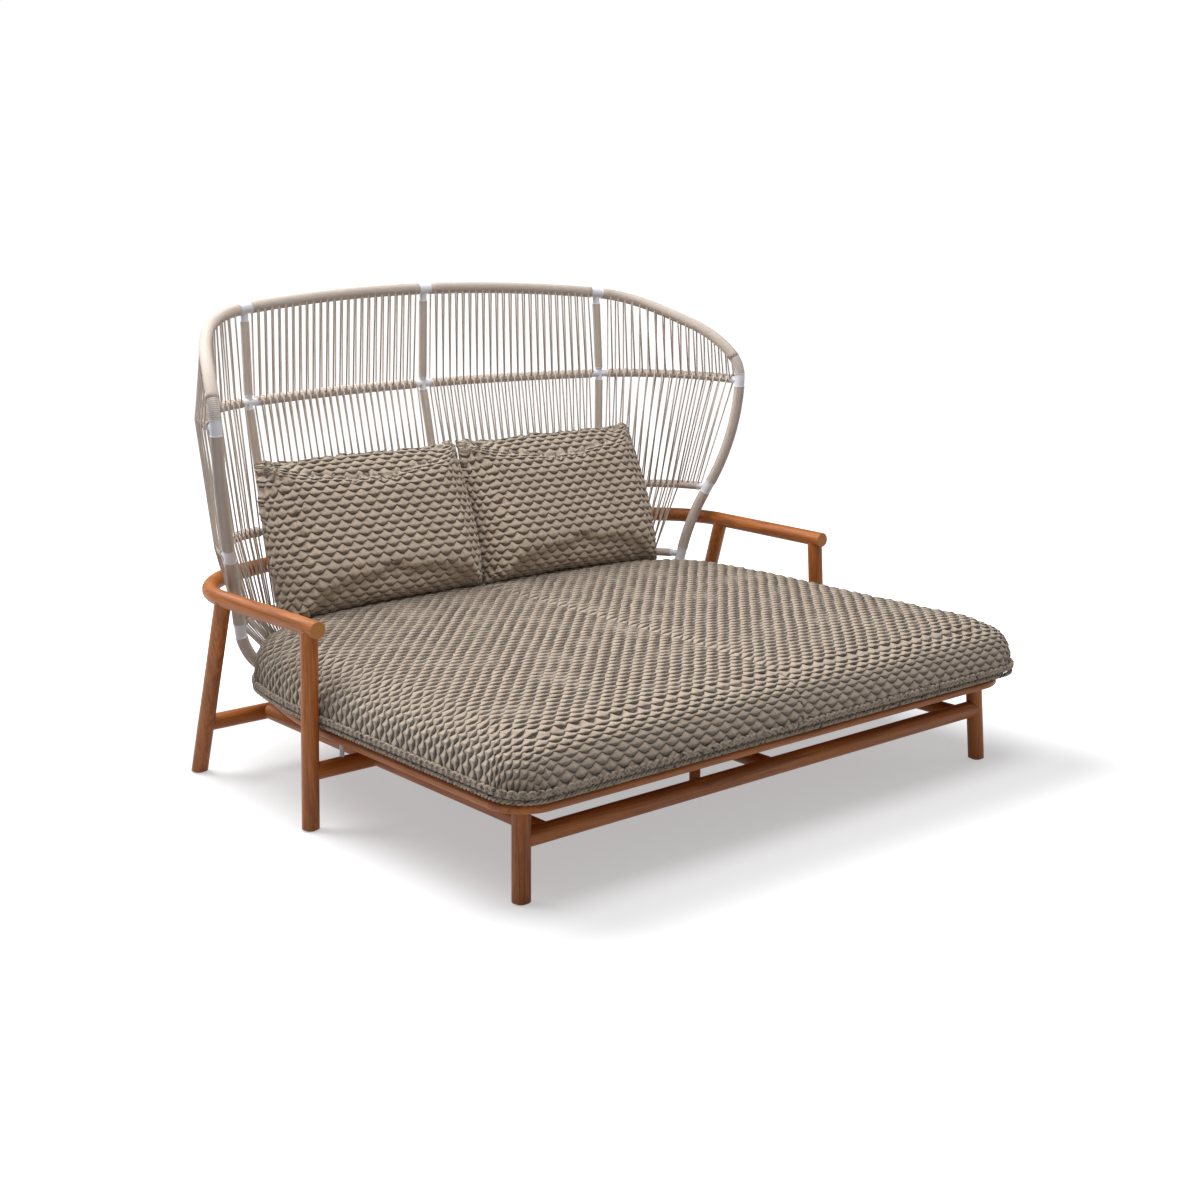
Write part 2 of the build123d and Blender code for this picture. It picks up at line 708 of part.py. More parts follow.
def build_seat_cushion():
    base = ring_top + soft_clearance
    tall = seat_cushion_height
    sections = [seat_section(inset * seat_cushion_height, base + rise * tall)
                for inset, rise in seat_section_shares]
    cushion = loft(sections, ruled=True)
    top = base + tall
    seam = block(-seam_width / 2, seam_width / 2, -overrun, seat_cushion_rear + overrun,
                 top - seam_depth, top + overrun)
    keep("seat_cushion", cushion - seam)


def back_section(inset, place):
    half_w = back_cushion_width / 2 - inset
    half_h = back_cushion_height / 2 - inset
    bow = back_cushion_bow_share * back_cushion_width * (1 - inset / back_cushion_thickness)
    corners = [Vector(-half_w, -half_h), Vector(half_w, -half_h), Vector(half_w, half_h), Vector(-half_w, half_h)]
    middles = [Vector(0, -half_h + bow), Vector(half_w - bow, 0), Vector(0, half_h - bow), Vector(-half_w + bow, 0)]
    edges = []
    for start, middle, end in zip(corners, middles, corners[1:] + corners[:1]):
        edges.append(ThreePointArc(start, middle, end).edge())
    return Pos(0, 0, place) * make_face(Wire(edges))


def build_back_cushion():
    sections = [back_section(inset * back_cushion_thickness, place * back_cushion_thickness)
                for place, inset in back_section_shares]
    pillow = loft(sections)
    seat_top = ring_top + soft_clearance + seat_cushion_height
    lean = math.radians(back_cushion_lean)
    rise = back_cushion_height / 2 * math.cos(lean) + back_cushion_gap
    centre = spot(back_cushion_width / 2 + back_cushion_gap / 2, back_cushion_depth, seat_top + rise)
    stand = Plane(centre, x_dir=(1, 0, 0), z_dir=(0, -math.cos(lean), math.sin(lean)))
    return settled(stand * pillow, parts["seat_cushion"])


def settled(shape, below):
    """The shape lowered in steps until it stands just clear of what lies below it."""
    for _ in range(settling_steps):
        shape = Pos(0, 0, soft_clearance - shape.distance_to(below)) * shape
    return shape


mid_depth = (rail_reach() + rail_radius - seat_cushion_overhang) / 2
build_ring()
side_rail = build_arm_rail()
build_frame(side_rail)
back = back_paths()
outer_rib = build_back(back)
rib_lug = build_lugs(outer_rib, back["rib"], parts["arm_rail_rear"])
build_wraps(back, rib_lug)
build_cords(back)
build_seat_cushion()
keep_pair("back_cushion", build_back_cushion())

os.makedirs("parts", exist_ok=True)
for name, shape in parts.items():
    export_step(shape, "parts/" + name + ".step")
    print(name, len(shape.solids()), round(shape.volume))
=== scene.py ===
import bisect
import math

import bmesh
import bpy
from mathutils import Matrix, Vector, noise
from mathutils.bvhtree import BVHTree


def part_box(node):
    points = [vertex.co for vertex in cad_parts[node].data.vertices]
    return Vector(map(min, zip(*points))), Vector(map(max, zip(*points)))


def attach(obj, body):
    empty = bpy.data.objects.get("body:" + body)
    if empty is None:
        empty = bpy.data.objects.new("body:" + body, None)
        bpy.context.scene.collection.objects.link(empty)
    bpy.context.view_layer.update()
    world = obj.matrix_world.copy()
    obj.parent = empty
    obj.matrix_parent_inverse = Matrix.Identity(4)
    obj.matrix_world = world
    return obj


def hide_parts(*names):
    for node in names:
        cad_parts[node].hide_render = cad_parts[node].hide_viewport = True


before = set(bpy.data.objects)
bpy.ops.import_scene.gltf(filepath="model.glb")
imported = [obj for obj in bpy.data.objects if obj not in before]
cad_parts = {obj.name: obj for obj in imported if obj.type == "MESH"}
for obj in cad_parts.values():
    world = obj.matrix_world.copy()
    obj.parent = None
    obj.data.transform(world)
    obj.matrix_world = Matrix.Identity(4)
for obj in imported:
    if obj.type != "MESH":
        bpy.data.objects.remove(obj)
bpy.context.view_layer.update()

bl_info = {
    "name": "Teak daybed",
    "version": (1, 0, 0),
    "blender": (4, 5, 0),
    "location": "3D View > Sidebar > Daybed",
    "description": "Dresses the teak daybed with wound cord, strung cord, timber finishes and cushions",
    "category": "Object",
}

# The glide under a front leg stands 47 mm behind the front edge of the seat ring
MID_DEPTH = 0.047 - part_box("leg_glides")[0].y
MM = 0.001
# A distance along a path that is past the rounding of numbers
TINY = 1e-6


def tone(*screen):
    """A linear colour from its 0 to 255 screen values."""
    return tuple((v / 255 / 12.92) if v <= 10 else ((v / 255 + 0.055) / 1.055) ** 2.4 for v in screen)


def colour_setting(name, description, screen):
    return bpy.props.FloatVectorProperty(name=name, description=description, subtype="COLOR", size=3,
                                         min=0.0, max=1.0, default=tone(*screen))


def length_setting(name, description, default):
    return bpy.props.FloatProperty(name=name, description=description, default=default, min=0.0,
                                   unit="LENGTH", precision=4)


class DaybedSizes(bpy.types.PropertyGroup):
    cord: length_setting("Cord", "Diameter of the strung cord", 0.0052)
    ring_pitch: length_setting("Ring pitch", "Distance between the turns of cord round the tubes", 0.004)
    lip: length_setting("Lip", "Thickness of the bead at the ends of a white collar", 0.0022)
    puff_width: length_setting("Puff width", "Width of one puff of the cushion fabric", 0.0427)
    puff_rise: length_setting("Puff rise", "Distance between two rows of puffs", 0.0222)
    puff_height: length_setting("Puff height", "How far a puff stands out of the cushion", 0.0052)
    welt: length_setting("Welt", "Thickness of the gathered welt round the seat cushion", 0.008)


class DaybedColours(bpy.types.PropertyGroup):
    teak_light: colour_setting("Teak, light", "Pale streaks of the timber", (208, 124, 50))
    teak_dark: colour_setting("Teak, dark", "Dark streaks of the timber", (134, 71, 22))
    end_grain: colour_setting("End grain", "Cut end of the arm rail", (190, 130, 76))
    metal: colour_setting("White metal", "Bare collars of the tube back", (232, 233, 238))
    cord: colour_setting("Cord", "Strung cord", (236, 221, 208))
    wrap: colour_setting("Wound cord", "Cord wound round the tubes", (217, 201, 188))
    fabric: colour_setting("Fabric", "Cushion fabric", (194, 175, 154))
    # Painted shade: the colour laid into the folds between the puffs and into the welt's gathers
    fabric_fold_shade: colour_setting("Fabric, folds", "Cushion fabric between the puffs", (58, 49, 42))
    glide: colour_setting("Glide", "Foot glides", (38, 38, 40))
    floor: colour_setting("Floor", "Studio floor", (190, 190, 192))


# Paths of the tubes, in millimetres from the middle of the ring's front edge. The shell is how far the back
# reaches across, to the rear and up, and the places of its top and edge tubes are shares of that
SHELL = (945.6, 1596.6, 1293.4)
RIB_HEAD = (0.6818, 0.9671, 0.9753)
EDGE_CURVE = ((0.8595, 0.9051, 0.9371), (0.9331, 0.8326, 0.8962), (0.9877, 0.7567, 0.8305))
EDGE_MID, EDGE_LOWER = (1.0, 0.7354, 0.7619), (0.9334, 0.7844, 0.4878)
EDGE_BOTTOM, EDGE_FOOT = (0.8732, 0.8246, 0.31235), (0.846, 0.8293, 0.259)
FOOT, BOTTOM_BEND, BOTTOM_MIDDLE = (693.0, 1381.0, 277.0), (540.0, 1438.0, 277.0), (0.0, 1454.0, 277.0)
BOTTOM_RIB = 600.0
RAILS = {
    "mid": ((0.0, 1611.0, 1003.0), (649.0, 1533.0, 999.0), EDGE_MID),
    "lower": ((0.0, 1527.0, 630.0), (621.0, 1506.0, 630.0), EDGE_LOWER),
    "bottom": ((0.0, 1477.0, 405.0), (613.0, 1467.0, 405.0), EDGE_BOTTOM),
}
# Outer radius of the winding on the top and edge tubes, the ribs and the cross rails
TUBE, RIB, CROSS = 17.2 * MM, 12.9 * MM, 13.4 * MM
# Half of a collar on a tube, and from a joint's middle to the winding beside a tube and beside a rib
COLLAR = 20.0 * MM
TUBE_END, RIB_END = 36.0 * MM, 30.5 * MM
# Points of a tube for each turn of cord, the first of them in the groove between two turns
TURN_POINTS = 3
# Cord laid lengthwise on the top tube, and the coarse turns above the side collar
RIDGES, RIDGE_GROOVE, COARSE_BAND = 26, 0.955, 55.0 * MM
# Points round a collar's bead, and the share of it that is sunk into the collar
LIP_POINTS, LIP_SUNK = 28, 0.3
# Strands of a bay and of a wing, and how many of a wing's go down to the bottom tube
BAY_STRANDS, WING_STRANDS, WING_LONG = 24, 17, 13
STRAND_MARGIN = 24.0 * MM
WING_BOTTOM_SHARE = 0.74
WING_HALF_SHIFT = 5.5 * MM
LOOP_DEGREES = range(10, 171, 20)

# Shape of the fabric's puffs, as shares of a row or of a puff's height
FOLD_SWING, PUFF_LIP, PUFF_HEM, PUFF_SIDE = 0.27, 0.3, 0.32, 0.42

# Cushions: the even mesh, the cloth's pressure with its furthest move and its shrinkage before that, and how
# far a cover swells past its solid or stays within it where it lies on something
VOXEL = 0.0111
SEAT_FILL, BACK_FILL = (4.0, 0.022, 0.004), (4.0, 0.026, 0.006)
SWELL, CLEAR = 0.006, 0.001
# Seat cushion: its base, its crown over that, the seam along its middle and the groove over its piping
SEAT_BASE, CROWN = 250.4 * MM, 0.165
SEAM_DIP, SEAM_SPREAD = 0.009, 0.022
GROOVE_HEIGHT, GROOVE_DEPTH, GROOVE_SPREAD, GROOVE_TOP = 0.2775, 0.006, 0.004, 0.29
# The fabric's pattern: where it starts across the seat, and half of this is its shift beyond the seam
PATTERN_START, SEAM_SHIFT = 0.0107, (0.0213, 0.017)
# Half of the seat cushion's width, its front and rear and its front corners, in millimetres like the paths
SEAT_HALF, SEAT_FRONT, SEAT_REAR, SEAT_CORNER = 900.0, -29.0, 1398.0, 96.0
SEAT_SIDE = ((1.0, 0.60), (0.962, 0.83), (0.86, 0.925), (0.60, 0.99), (0.0, 1.0))
# Rows of the welt, each with its outset from the cushion and its height in millimetres
RUFFLES, PIPING = ((3.0, 291.0), (3.5, 284.0)), (1.0, 269.0)
WELT_STEP, RUFFLE_WAVE, PIPING_TWIST = 0.0036, 0.0213, 0.026
# Back cushions: lean, half depth, how far the top sags back, the foot comes forward and the inner top corner
# comes in, and the clearance at the middle
LEAN, HALF_DEPTH = math.radians(12), 0.095
SAG_BACK, FOOT_FORWARD, CORNER_IN, MIDDLE_CLEAR = 0.05, 0.016, 0.007, 0.0008
# Outline of a back cushion seen from the front, which is an ellipse at 2 and squarer with more
SQUARENESS = 9
OUTLINE_STEPS = 90
OUTLINE_STEP = math.tau / OUTLINE_STEPS


def spot(x, depth, z):
    return Vector((x * MM, depth * MM - MID_DEPTH, z * MM))


def shell_spot(shares):
    return spot(*(share * size for share, size in zip(shares, SHELL)))


class Path:
    """A smooth line through places, walked by distance."""

    def __init__(self, points):
        self.points = points
        self.reach = [0.0]
        for start, end in zip(points, points[1:]):
            self.reach.append(self.reach[-1] + (end - start).length)
        self.length = self.reach[-1]

    def at(self, distance):
        index = min(max(bisect.bisect_right(self.reach, distance) - 1, 0), len(self.points) - 2)
        start, end = self.points[index], self.points[index + 1]
        along = end - start
        share = (distance - self.reach[index]) / max(along.length, TINY)
        return start + along * share, along.normalized()

    def find(self, value, measure):
        """The distance at which a steadily growing measure reaches a value."""
        low, high = 0.0, self.length
        for _ in range(30):
            middle = (low + high) / 2
            low, high = (middle, high) if measure(self.at(middle)[0]) < value else (low, middle)
        return (low + high) / 2

    def run(self, start, end, step):
        count = max(2, round((end - start) / step))
        return [self.at(start + (end - start) * index / count)[0] for index in range(count + 1)]


def arcs(places, heading, step=4 * MM):
    """Arcs through the places, each tangent to the one before, and the last heading."""
    points = [places[0]]
    heading = Vector(heading).normalized()
    for start, end in zip(places, places[1:]):
        chord = end - start
        turn = heading.angle(chord)
        if turn < 1e-3:
            points.append(end)
            continue
        radius = chord.length / (2 * math.sin(turn))
        inward = (chord.normalized() - heading * math.cos(turn)).normalized()
        count = max(3, math.ceil(2 * turn * radius / step))
        for index in range(1, count + 1):
            angle = 2 * turn * index / count
            points.append(start + inward * radius * (1 - math.cos(angle))
                          + heading * radius * math.sin(angle))
        heading = heading * math.cos(2 * turn) + inward * math.sin(2 * turn)
    return points, heading


def back_paths():
    top_points, heading = arcs([spot(0, SHELL[1], SHELL[2]), shell_spot(RIB_HEAD)], (1, 0, 0))
    shoulder, heading = arcs([shell_spot(s) for s in (RIB_HEAD,) + EDGE_CURVE + (EDGE_MID,)], heading)
    flank, heading = arcs([shell_spot(EDGE_MID), shell_spot(EDGE_LOWER)], heading)
    shank, heading = arcs([shell_spot(EDGE_LOWER), shell_spot(EDGE_BOTTOM)], heading)
    toe, _ = arcs([shell_spot(EDGE_BOTTOM), shell_spot(EDGE_FOOT), spot(*FOOT)], heading)
    bottom, _ = arcs([spot(*BOTTOM_MIDDLE), spot(*BOTTOM_BEND), spot(*FOOT)], (1, 0, 0))
    bottom = Path(bottom)
    rib_foot = bottom.find(BOTTOM_RIB * MM, lambda point: point.x)
    rails = {}
    for name, (middle, rib, edge) in RAILS.items():
        bay, heading = arcs([spot(*middle), spot(*rib)], (1, 0, 0))
        wing, _ = arcs([spot(*rib), shell_spot(edge)], heading)
        rails[name] = (Path(bay), Path(wing))
    rib = [shell_spot(RIB_HEAD)] + [spot(*RAILS[name][1]) for name in RAILS] + [bottom.at(rib_foot)[0]]
    middle = [top_points[0]] + [spot(*RAILS[name][0]) for name in RAILS] + [bottom.points[0]]
    return {"top": Path(top_points), "shoulder": Path(shoulder), "flank": Path(flank), "shank": Path(shank),
            "toe": Path(toe), "bottom": bottom, "rib_foot": rib_foot, "rails": rails, "rib": rib,
            "middle": middle}


PATHS = back_paths()


# Making pieces
def mirrored(points):
    return [Vector((-point.x, point.y, point.z)) for point in points]


def both_sides(lines):
    return lines + [(mirrored(points), radii) for points, radii in lines]


def add_piece(name, data, material, body="frame", replaces=()):
    """Puts a piece into the scene, on its body and in place of the nodes that it covers."""
    piece = bpy.data.objects.new(name, data)
    bpy.context.scene.collection.objects.link(piece)
    data.materials.clear()
    data.materials.append(material)
    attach(piece, body)
    if replaces:
        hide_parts(*replaces)
    return piece


def tube_lines(name, lines, radius, sides, closed=False):
    """A curve of round tubes along the lines; each line is its points and their thickness factors."""
    curve = bpy.data.curves.new(name, "CURVE")
    curve.dimensions = "3D"
    curve.bevel_depth = radius
    curve.bevel_resolution = sides // 2 - 2
    curve.use_fill_caps = not closed
    for points, radii in lines:
        spline = curve.splines.new("POLY")
        spline.points.add(len(points) - 1)
        spline.points.foreach_set("co", [value for point in points for value in (*point, 1.0)])
        spline.points.foreach_set("radius", radii or [1.0] * len(points))
        spline.use_cyclic_u = closed
    return curve


def wound_line(path, start, end, pitch, groove=0.93):
    """Points and thickness factors of a tube with a turn of cord at every pitch."""
    count = TURN_POINTS * max(1, round((end - start) / pitch))
    points = [path.at(start + (end - start) * index / count)[0] for index in range(count + 1)]
    return points, [groove if index % TURN_POINTS == 0 else 1.0 for index in range(count + 1)]


def straight_runs(points):
    """The straight stretches between the joints of a rib."""
    gaps = [TUBE_END] + [COLLAR] * (len(points) - 2) + [TUBE_END]
    runs = []
    for start, end, gap_start, gap_end in zip(points, points[1:], gaps, gaps[1:]):
        path = Path([start, end])
        runs.append((path, gap_start, path.length - gap_end))
    return runs


def rounded(place):
    return tuple(round(value, 7) for value in place)


def ridged_sleeve(runs, radius, ridges):
    """A mesh sleeve with cord laid lengthwise: a ridged ring extruded from station to station."""
    mesh = bmesh.new()
    for points in runs:
        path = Path(points)
        ring = bmesh.ops.create_circle(mesh, cap_ends=False, segments=ridges * TURN_POINTS,
                                       radius=radius)["verts"]
        for index, vert in enumerate(ring):
            if index % TURN_POINTS == 0:
                vert.co *= RIDGE_GROOVE
        shape = [vert.co.copy() for vert in ring]
        edges = list({edge for vert in ring for edge in vert.link_edges})
        order = ring
        ends = []
        side = path.at(TINY)[1].orthogonal()
        for index, point in enumerate(points):
            along = path.at(path.reach[index] + TINY)[1]
            side = (side - along * side.dot(along)).normalized()
            other = along.cross(side)
            if index:
                made = bmesh.ops.extrude_edge_only(mesh, edges=edges)["geom"]
                fresh = [item for item in made if isinstance(item, bmesh.types.BMVert)]
                lookup = {rounded(vert.co): vert for vert in fresh}
                order = [lookup[rounded(vert.co)] for vert in order]
                edges = [item for item in made if isinstance(item, bmesh.types.BMEdge)
                         and all(vert in lookup.values() for vert in item.verts)]
            for vert, flat in zip(order, shape):
                vert.co = point + side * flat.x + other * flat.y
            if index in (0, len(points) - 1):
                ends.append(list(edges))
        for loop in ends:
            bmesh.ops.contextual_create(mesh, geom=loop)
    bmesh.ops.recalc_face_normals(mesh, faces=mesh.faces)
    data = bpy.data.meshes.new("sleeve")
    mesh.to_mesh(data)
    mesh.free()
    data.shade_smooth()
    return data


# Materials
class Finish:
    """A node material built step by step."""

    def __init__(self, name, roughness, sheen=0.0):
        self.material = bpy.data.materials.new(name)
        self.material.use_nodes = True
        self.tree = self.material.node_tree
        self.shader = self.tree.nodes["Principled BSDF"]
        self.shader.inputs["Roughness"].default_value = roughness
        if sheen:
            self.shader.inputs["Sheen Weight"].default_value = sheen
            self.shader.inputs["Sheen Roughness"].default_value = 0.6

    def add(self, kind, settings=None, **sockets):
        node = self.tree.nodes.new("ShaderNode" + kind)
        for key, value in (settings or {}).items():
            setattr(node, key, value)
        for key, value in sockets.items():
            socket = node.inputs[int(key[1:])] if key[0] == "n" and key[1:].isdigit() else node.inputs[key]
            self.set(socket, value)
        return node

    def set(self, socket, value):
        if isinstance(value, bpy.types.NodeSocket):
            self.tree.links.new(value, socket)
        elif value is not None:
            if socket.type == "RGBA" and len(value) == 3:
                value = (*value, 1.0)
            socket.default_value = value

    def math(self, operation, first, second=None, third=None):
        node = self.add("Math", {"operation": operation})
        for socket, value in zip(node.inputs, (first, second, third)):
            self.set(socket, value)
        return node.outputs[0]

    def coordinates(self, output="Object"):
        return self.add("TexCoord").outputs[output]

    def split(self, vector):
        return self.add("SeparateXYZ", n0=vector).outputs

    def join(self, x=0.0, y=0.0, z=0.0):
        return self.add("CombineXYZ", n0=x, n1=y, n2=z).outputs[0]

    def stretched(self, vector, scale):
        return self.add("Mapping", Vector=vector, Scale=scale).outputs[0]

    def noise(self, vector, scale, detail=3.0, roughness=0.55, distortion=0.0):
        return self.add("TexNoise", Vector=vector, Scale=scale, Detail=detail, Roughness=roughness,
                        Distortion=distortion).outputs["Fac"]

    def between(self, value, low, high, out_low=0.0, out_high=1.0, kind="LINEAR"):
        return self.add("MapRange", {"clamp": True, "interpolation_type": kind}, n0=value, n1=low, n2=high,
                        n3=out_low, n4=out_high).outputs[0]

    def smooth(self, value, low, high, out_low=0.0, out_high=1.0):
        return self.between(value, low, high, out_low, out_high, "SMOOTHSTEP")

    def blend(self, factor, first, second):
        node = self.add("Mix", {"data_type": "RGBA"})
        self.set(node.inputs[0], factor)
        self.set(node.inputs[6], first)
        self.set(node.inputs[7], second)
        return node.outputs[2]

    def bump(self, height, distance, strength=1.0, under=None):
        node = self.add("Bump", Strength=strength, Distance=distance, Height=height)
        if under is not None:
            self.set(node.inputs["Normal"], under)
        return node.outputs[0]

    def finish(self, colour, roughness=None, normal=None):
        self.set(self.shader.inputs["Base Color"], colour)
        if roughness is not None:
            self.set(self.shader.inputs["Roughness"], roughness)
        if normal is not None:
            self.set(self.shader.inputs["Normal"], normal)
        return self.material


def teak(name, along, light, dark):
    """Oiled timber whose grain runs along an axis, 0 for X, 1 for Y and 2 for Z."""
    finish = Finish(name, 0.5)
    place = finish.coordinates()
    stretch = [1.0, 1.0, 1.0]
    stretch[along] = 0.045
    grain_place = finish.stretched(place, stretch)
    drawn_out = [2.0 if axis != along else 0.5 for axis in range(3)]
    wander = finish.noise(finish.stretched(place, drawn_out), 4.0, 2.0)
    figure = finish.noise(grain_place, 48.0, 5.0, 0.62, 1.4)
    streak = finish.noise(grain_place, 230.0, 3.0, 0.7)
    pore = finish.noise(grain_place, 900.0, 2.0, 0.6)
    body = finish.math("MULTIPLY_ADD", wander, 0.35, finish.math("MULTIPLY", figure, 0.75))
    body = finish.math("MULTIPLY_ADD", streak, 0.28, body)
    colour = finish.blend(finish.smooth(body, 0.48, 0.92), dark, light)
    vein = finish.smooth(figure, 0.56, 0.66)
    colour = finish.blend(finish.math("MULTIPLY", vein, 0.5), colour, tuple(v * 0.55 for v in dark))
    pores = finish.smooth(pore, 0.62, 0.72)
    colour = finish.blend(finish.math("MULTIPLY", pores, 0.3), colour, tuple(v * 0.5 for v in dark))
    worn = finish.noise(place, 7.0, 3.0)
    rough = finish.between(finish.math("MULTIPLY_ADD", streak, 0.3, worn), 0.3, 1.0, 0.4, 0.6)
    height = finish.math("SUBTRACT", finish.math("MULTIPLY", streak, 0.6), pores)
    return finish.finish(colour, rough, finish.bump(height, 0.0004, 0.5))


def end_grain(name, light, dark):
    """Sawn end of round timber: slanting year rings and fine pores."""
    finish = Finish(name, 0.6)
    place = finish.coordinates()
    x, y, z = finish.split(place)
    across = finish.math("ADD", finish.math("MULTIPLY", x, 0.75), finish.math("MULTIPLY", z, 0.62))
    wander = finish.noise(place, 40.0, 2.0)
    rings = finish.math("SINE", finish.math("MULTIPLY_ADD", across, 900.0,
                                            finish.math("MULTIPLY", wander, 7.0)))
    fine = finish.noise(place, 1400.0, 2.0)
    factor = finish.smooth(finish.math("MULTIPLY_ADD", fine, 0.6, rings), -0.6, 1.2)
    colour = finish.blend(factor, tuple(a * 0.6 + b * 0.4 for a, b in zip(light, dark)), light)
    rough = finish.between(fine, 0.3, 0.7, 0.5, 0.7)
    return finish.finish(colour, rough, finish.bump(fine, 0.0003, 0.5))


def white_metal(colour):
    """Powder-coated tube: a faint orange peel and slightly greyed patches."""
    finish = Finish("white_coating", 0.4)
    place = finish.coordinates()
    peel = finish.noise(place, 900.0, 2.0)
    patch = finish.noise(place, 12.0, 3.0)
    shade = finish.blend(finish.smooth(patch, 0.35, 0.75), colour, tuple(v * 0.9 for v in colour))
    rough = finish.between(patch, 0.3, 0.7, 0.34, 0.48)
    return finish.finish(shade, rough, finish.bump(peel, 0.00015, 0.5))


def cord_finish(name, colour, twist):
    """Braided outdoor cord: fine slanting strands, painted shade darkening the gaps between them so the
    crowns read lighter, soft sheen.
    """
    finish = Finish(name, 0.75, sheen=0.25)
    place = finish.coordinates()
    x, y, z = finish.split(place)
    nx, ny, nz = finish.split(finish.coordinates("Normal"))
    angle = finish.math("ARCTAN2", nx, finish.math("ADD", ny, finish.math("MULTIPLY", nz, 0.35)))
    run = finish.math("ADD", z, finish.math("MULTIPLY", x, 0.31))
    first, second = (finish.math("SINE", finish.math("MULTIPLY_ADD", run, twist,
                                                     finish.math("MULTIPLY", angle, strands)))
                     for strands in (3.0, -3.0))
    braid = finish.math("MAXIMUM", first, second)
    fibre = finish.noise(place, 1500.0, 2.0)
    patch = finish.noise(place, 18.0, 3.0)
    # Painted shade: the gaps between the braid's strands are darkened to 0.62 of the cord colour, the crowns
    # keep the full colour
    crown = finish.smooth(finish.math("MULTIPLY_ADD", fibre, 0.5, braid), -0.2, 1.1)
    shade = finish.blend(crown, tuple(v * 0.62 for v in colour), colour)
    shade = finish.blend(finish.smooth(patch, 0.3, 0.8, 0.0, 0.3), shade, tuple(v * 0.8 for v in colour))
    rough = finish.between(fibre, 0.3, 0.7, 0.68, 0.85)
    height = finish.math("MULTIPLY_ADD", fibre, 0.4, braid)
    return finish.finish(shade, rough, finish.bump(height, 0.0004, 0.7))


def fold_nodes(finish, u, row, width, rise):
    """Nodes for the height on the cloth of the wavy fold under a row of puffs."""
    odd = finish.math("MODULO", finish.math("ADD", row, 4000.0), 2.0)
    across = finish.math("SUBTRACT", finish.math("DIVIDE", u, width), finish.math("MULTIPLY", odd, 0.5))
    arch = finish.math("ABSOLUTE", finish.math("COSINE", finish.math("MULTIPLY", across, math.pi)))
    wave = finish.math("MULTIPLY_ADD", arch, -2 * FOLD_SWING * rise, FOLD_SWING * rise)
    return finish.math("MULTIPLY_ADD", row, rise, wave), across


def puffs(finish, u, v, width, rise):
    """Nodes for overlapping puffs: their height, the share of the way up each one, and its own number."""
    row = finish.math("FLOOR", finish.math("DIVIDE", v, rise))
    low, _ = fold_nodes(finish, u, row, width, rise)
    high, _ = fold_nodes(finish, u, finish.math("ADD", row, 1.0), width, rise)
    row = finish.math("SUBTRACT", finish.math("ADD", row, finish.math("GREATER_THAN", v, high)),
                      finish.math("LESS_THAN", v, low))
    low, across = fold_nodes(finish, u, row, width, rise)
    high, _ = fold_nodes(finish, u, finish.math("ADD", row, 1.0), width, rise)
    span = finish.math("SUBTRACT", high, low)
    upward = finish.math("DIVIDE", finish.math("SUBTRACT", v, low), span)
    narrow = (1 - 2 * FOLD_SWING) * rise
    wide = (1 + 2 * FOLD_SWING) * rise
    size = finish.between(span, narrow, wide, PUFF_SIDE, 1.0)
    lip = finish.smooth(upward, 0.0, PUFF_LIP)
    slope = finish.smooth(upward, PUFF_LIP, 1.0, 1.0, PUFF_HEM)
    height = finish.math("MULTIPLY", finish.math("MULTIPLY", lip, slope), size)
    cell = finish.math("FLOOR", finish.math("ADD", across, 0.5))
    marker = finish.add("TexWhiteNoise", {"noise_dimensions": "2D"}, Vector=finish.join(cell, row))
    return height, upward, marker.outputs["Value"]


def smooth_share(value, low, high):
    share = min(1.0, max(0.0, (value - low) / (high - low)))
    return share * share * (3 - 2 * share)


def puff_height(u, v, width, rise):
    """The height of the same puffs at one place, from 0 to 1."""
    def fold(row):
        arch = abs(math.cos(math.pi * (u / width - 0.5 * (row % 2))))
        return row * rise + FOLD_SWING * rise * (1 - 2 * arch)

    row = math.floor(v / rise)
    row += (v > fold(row + 1)) - (v < fold(row))
    low, high = fold(row), fold(row + 1)
    upward = (v - low) / (high - low)
    size = PUFF_SIDE + (1 - PUFF_SIDE) * ((high - low) / rise - 1 + 2 * FOLD_SWING) / (4 * FOLD_SWING)
    slope = 1 - (1 - PUFF_HEM) * smooth_share(upward, PUFF_LIP, 1.0)
    return smooth_share(upward, 0.0, PUFF_LIP) * slope * size


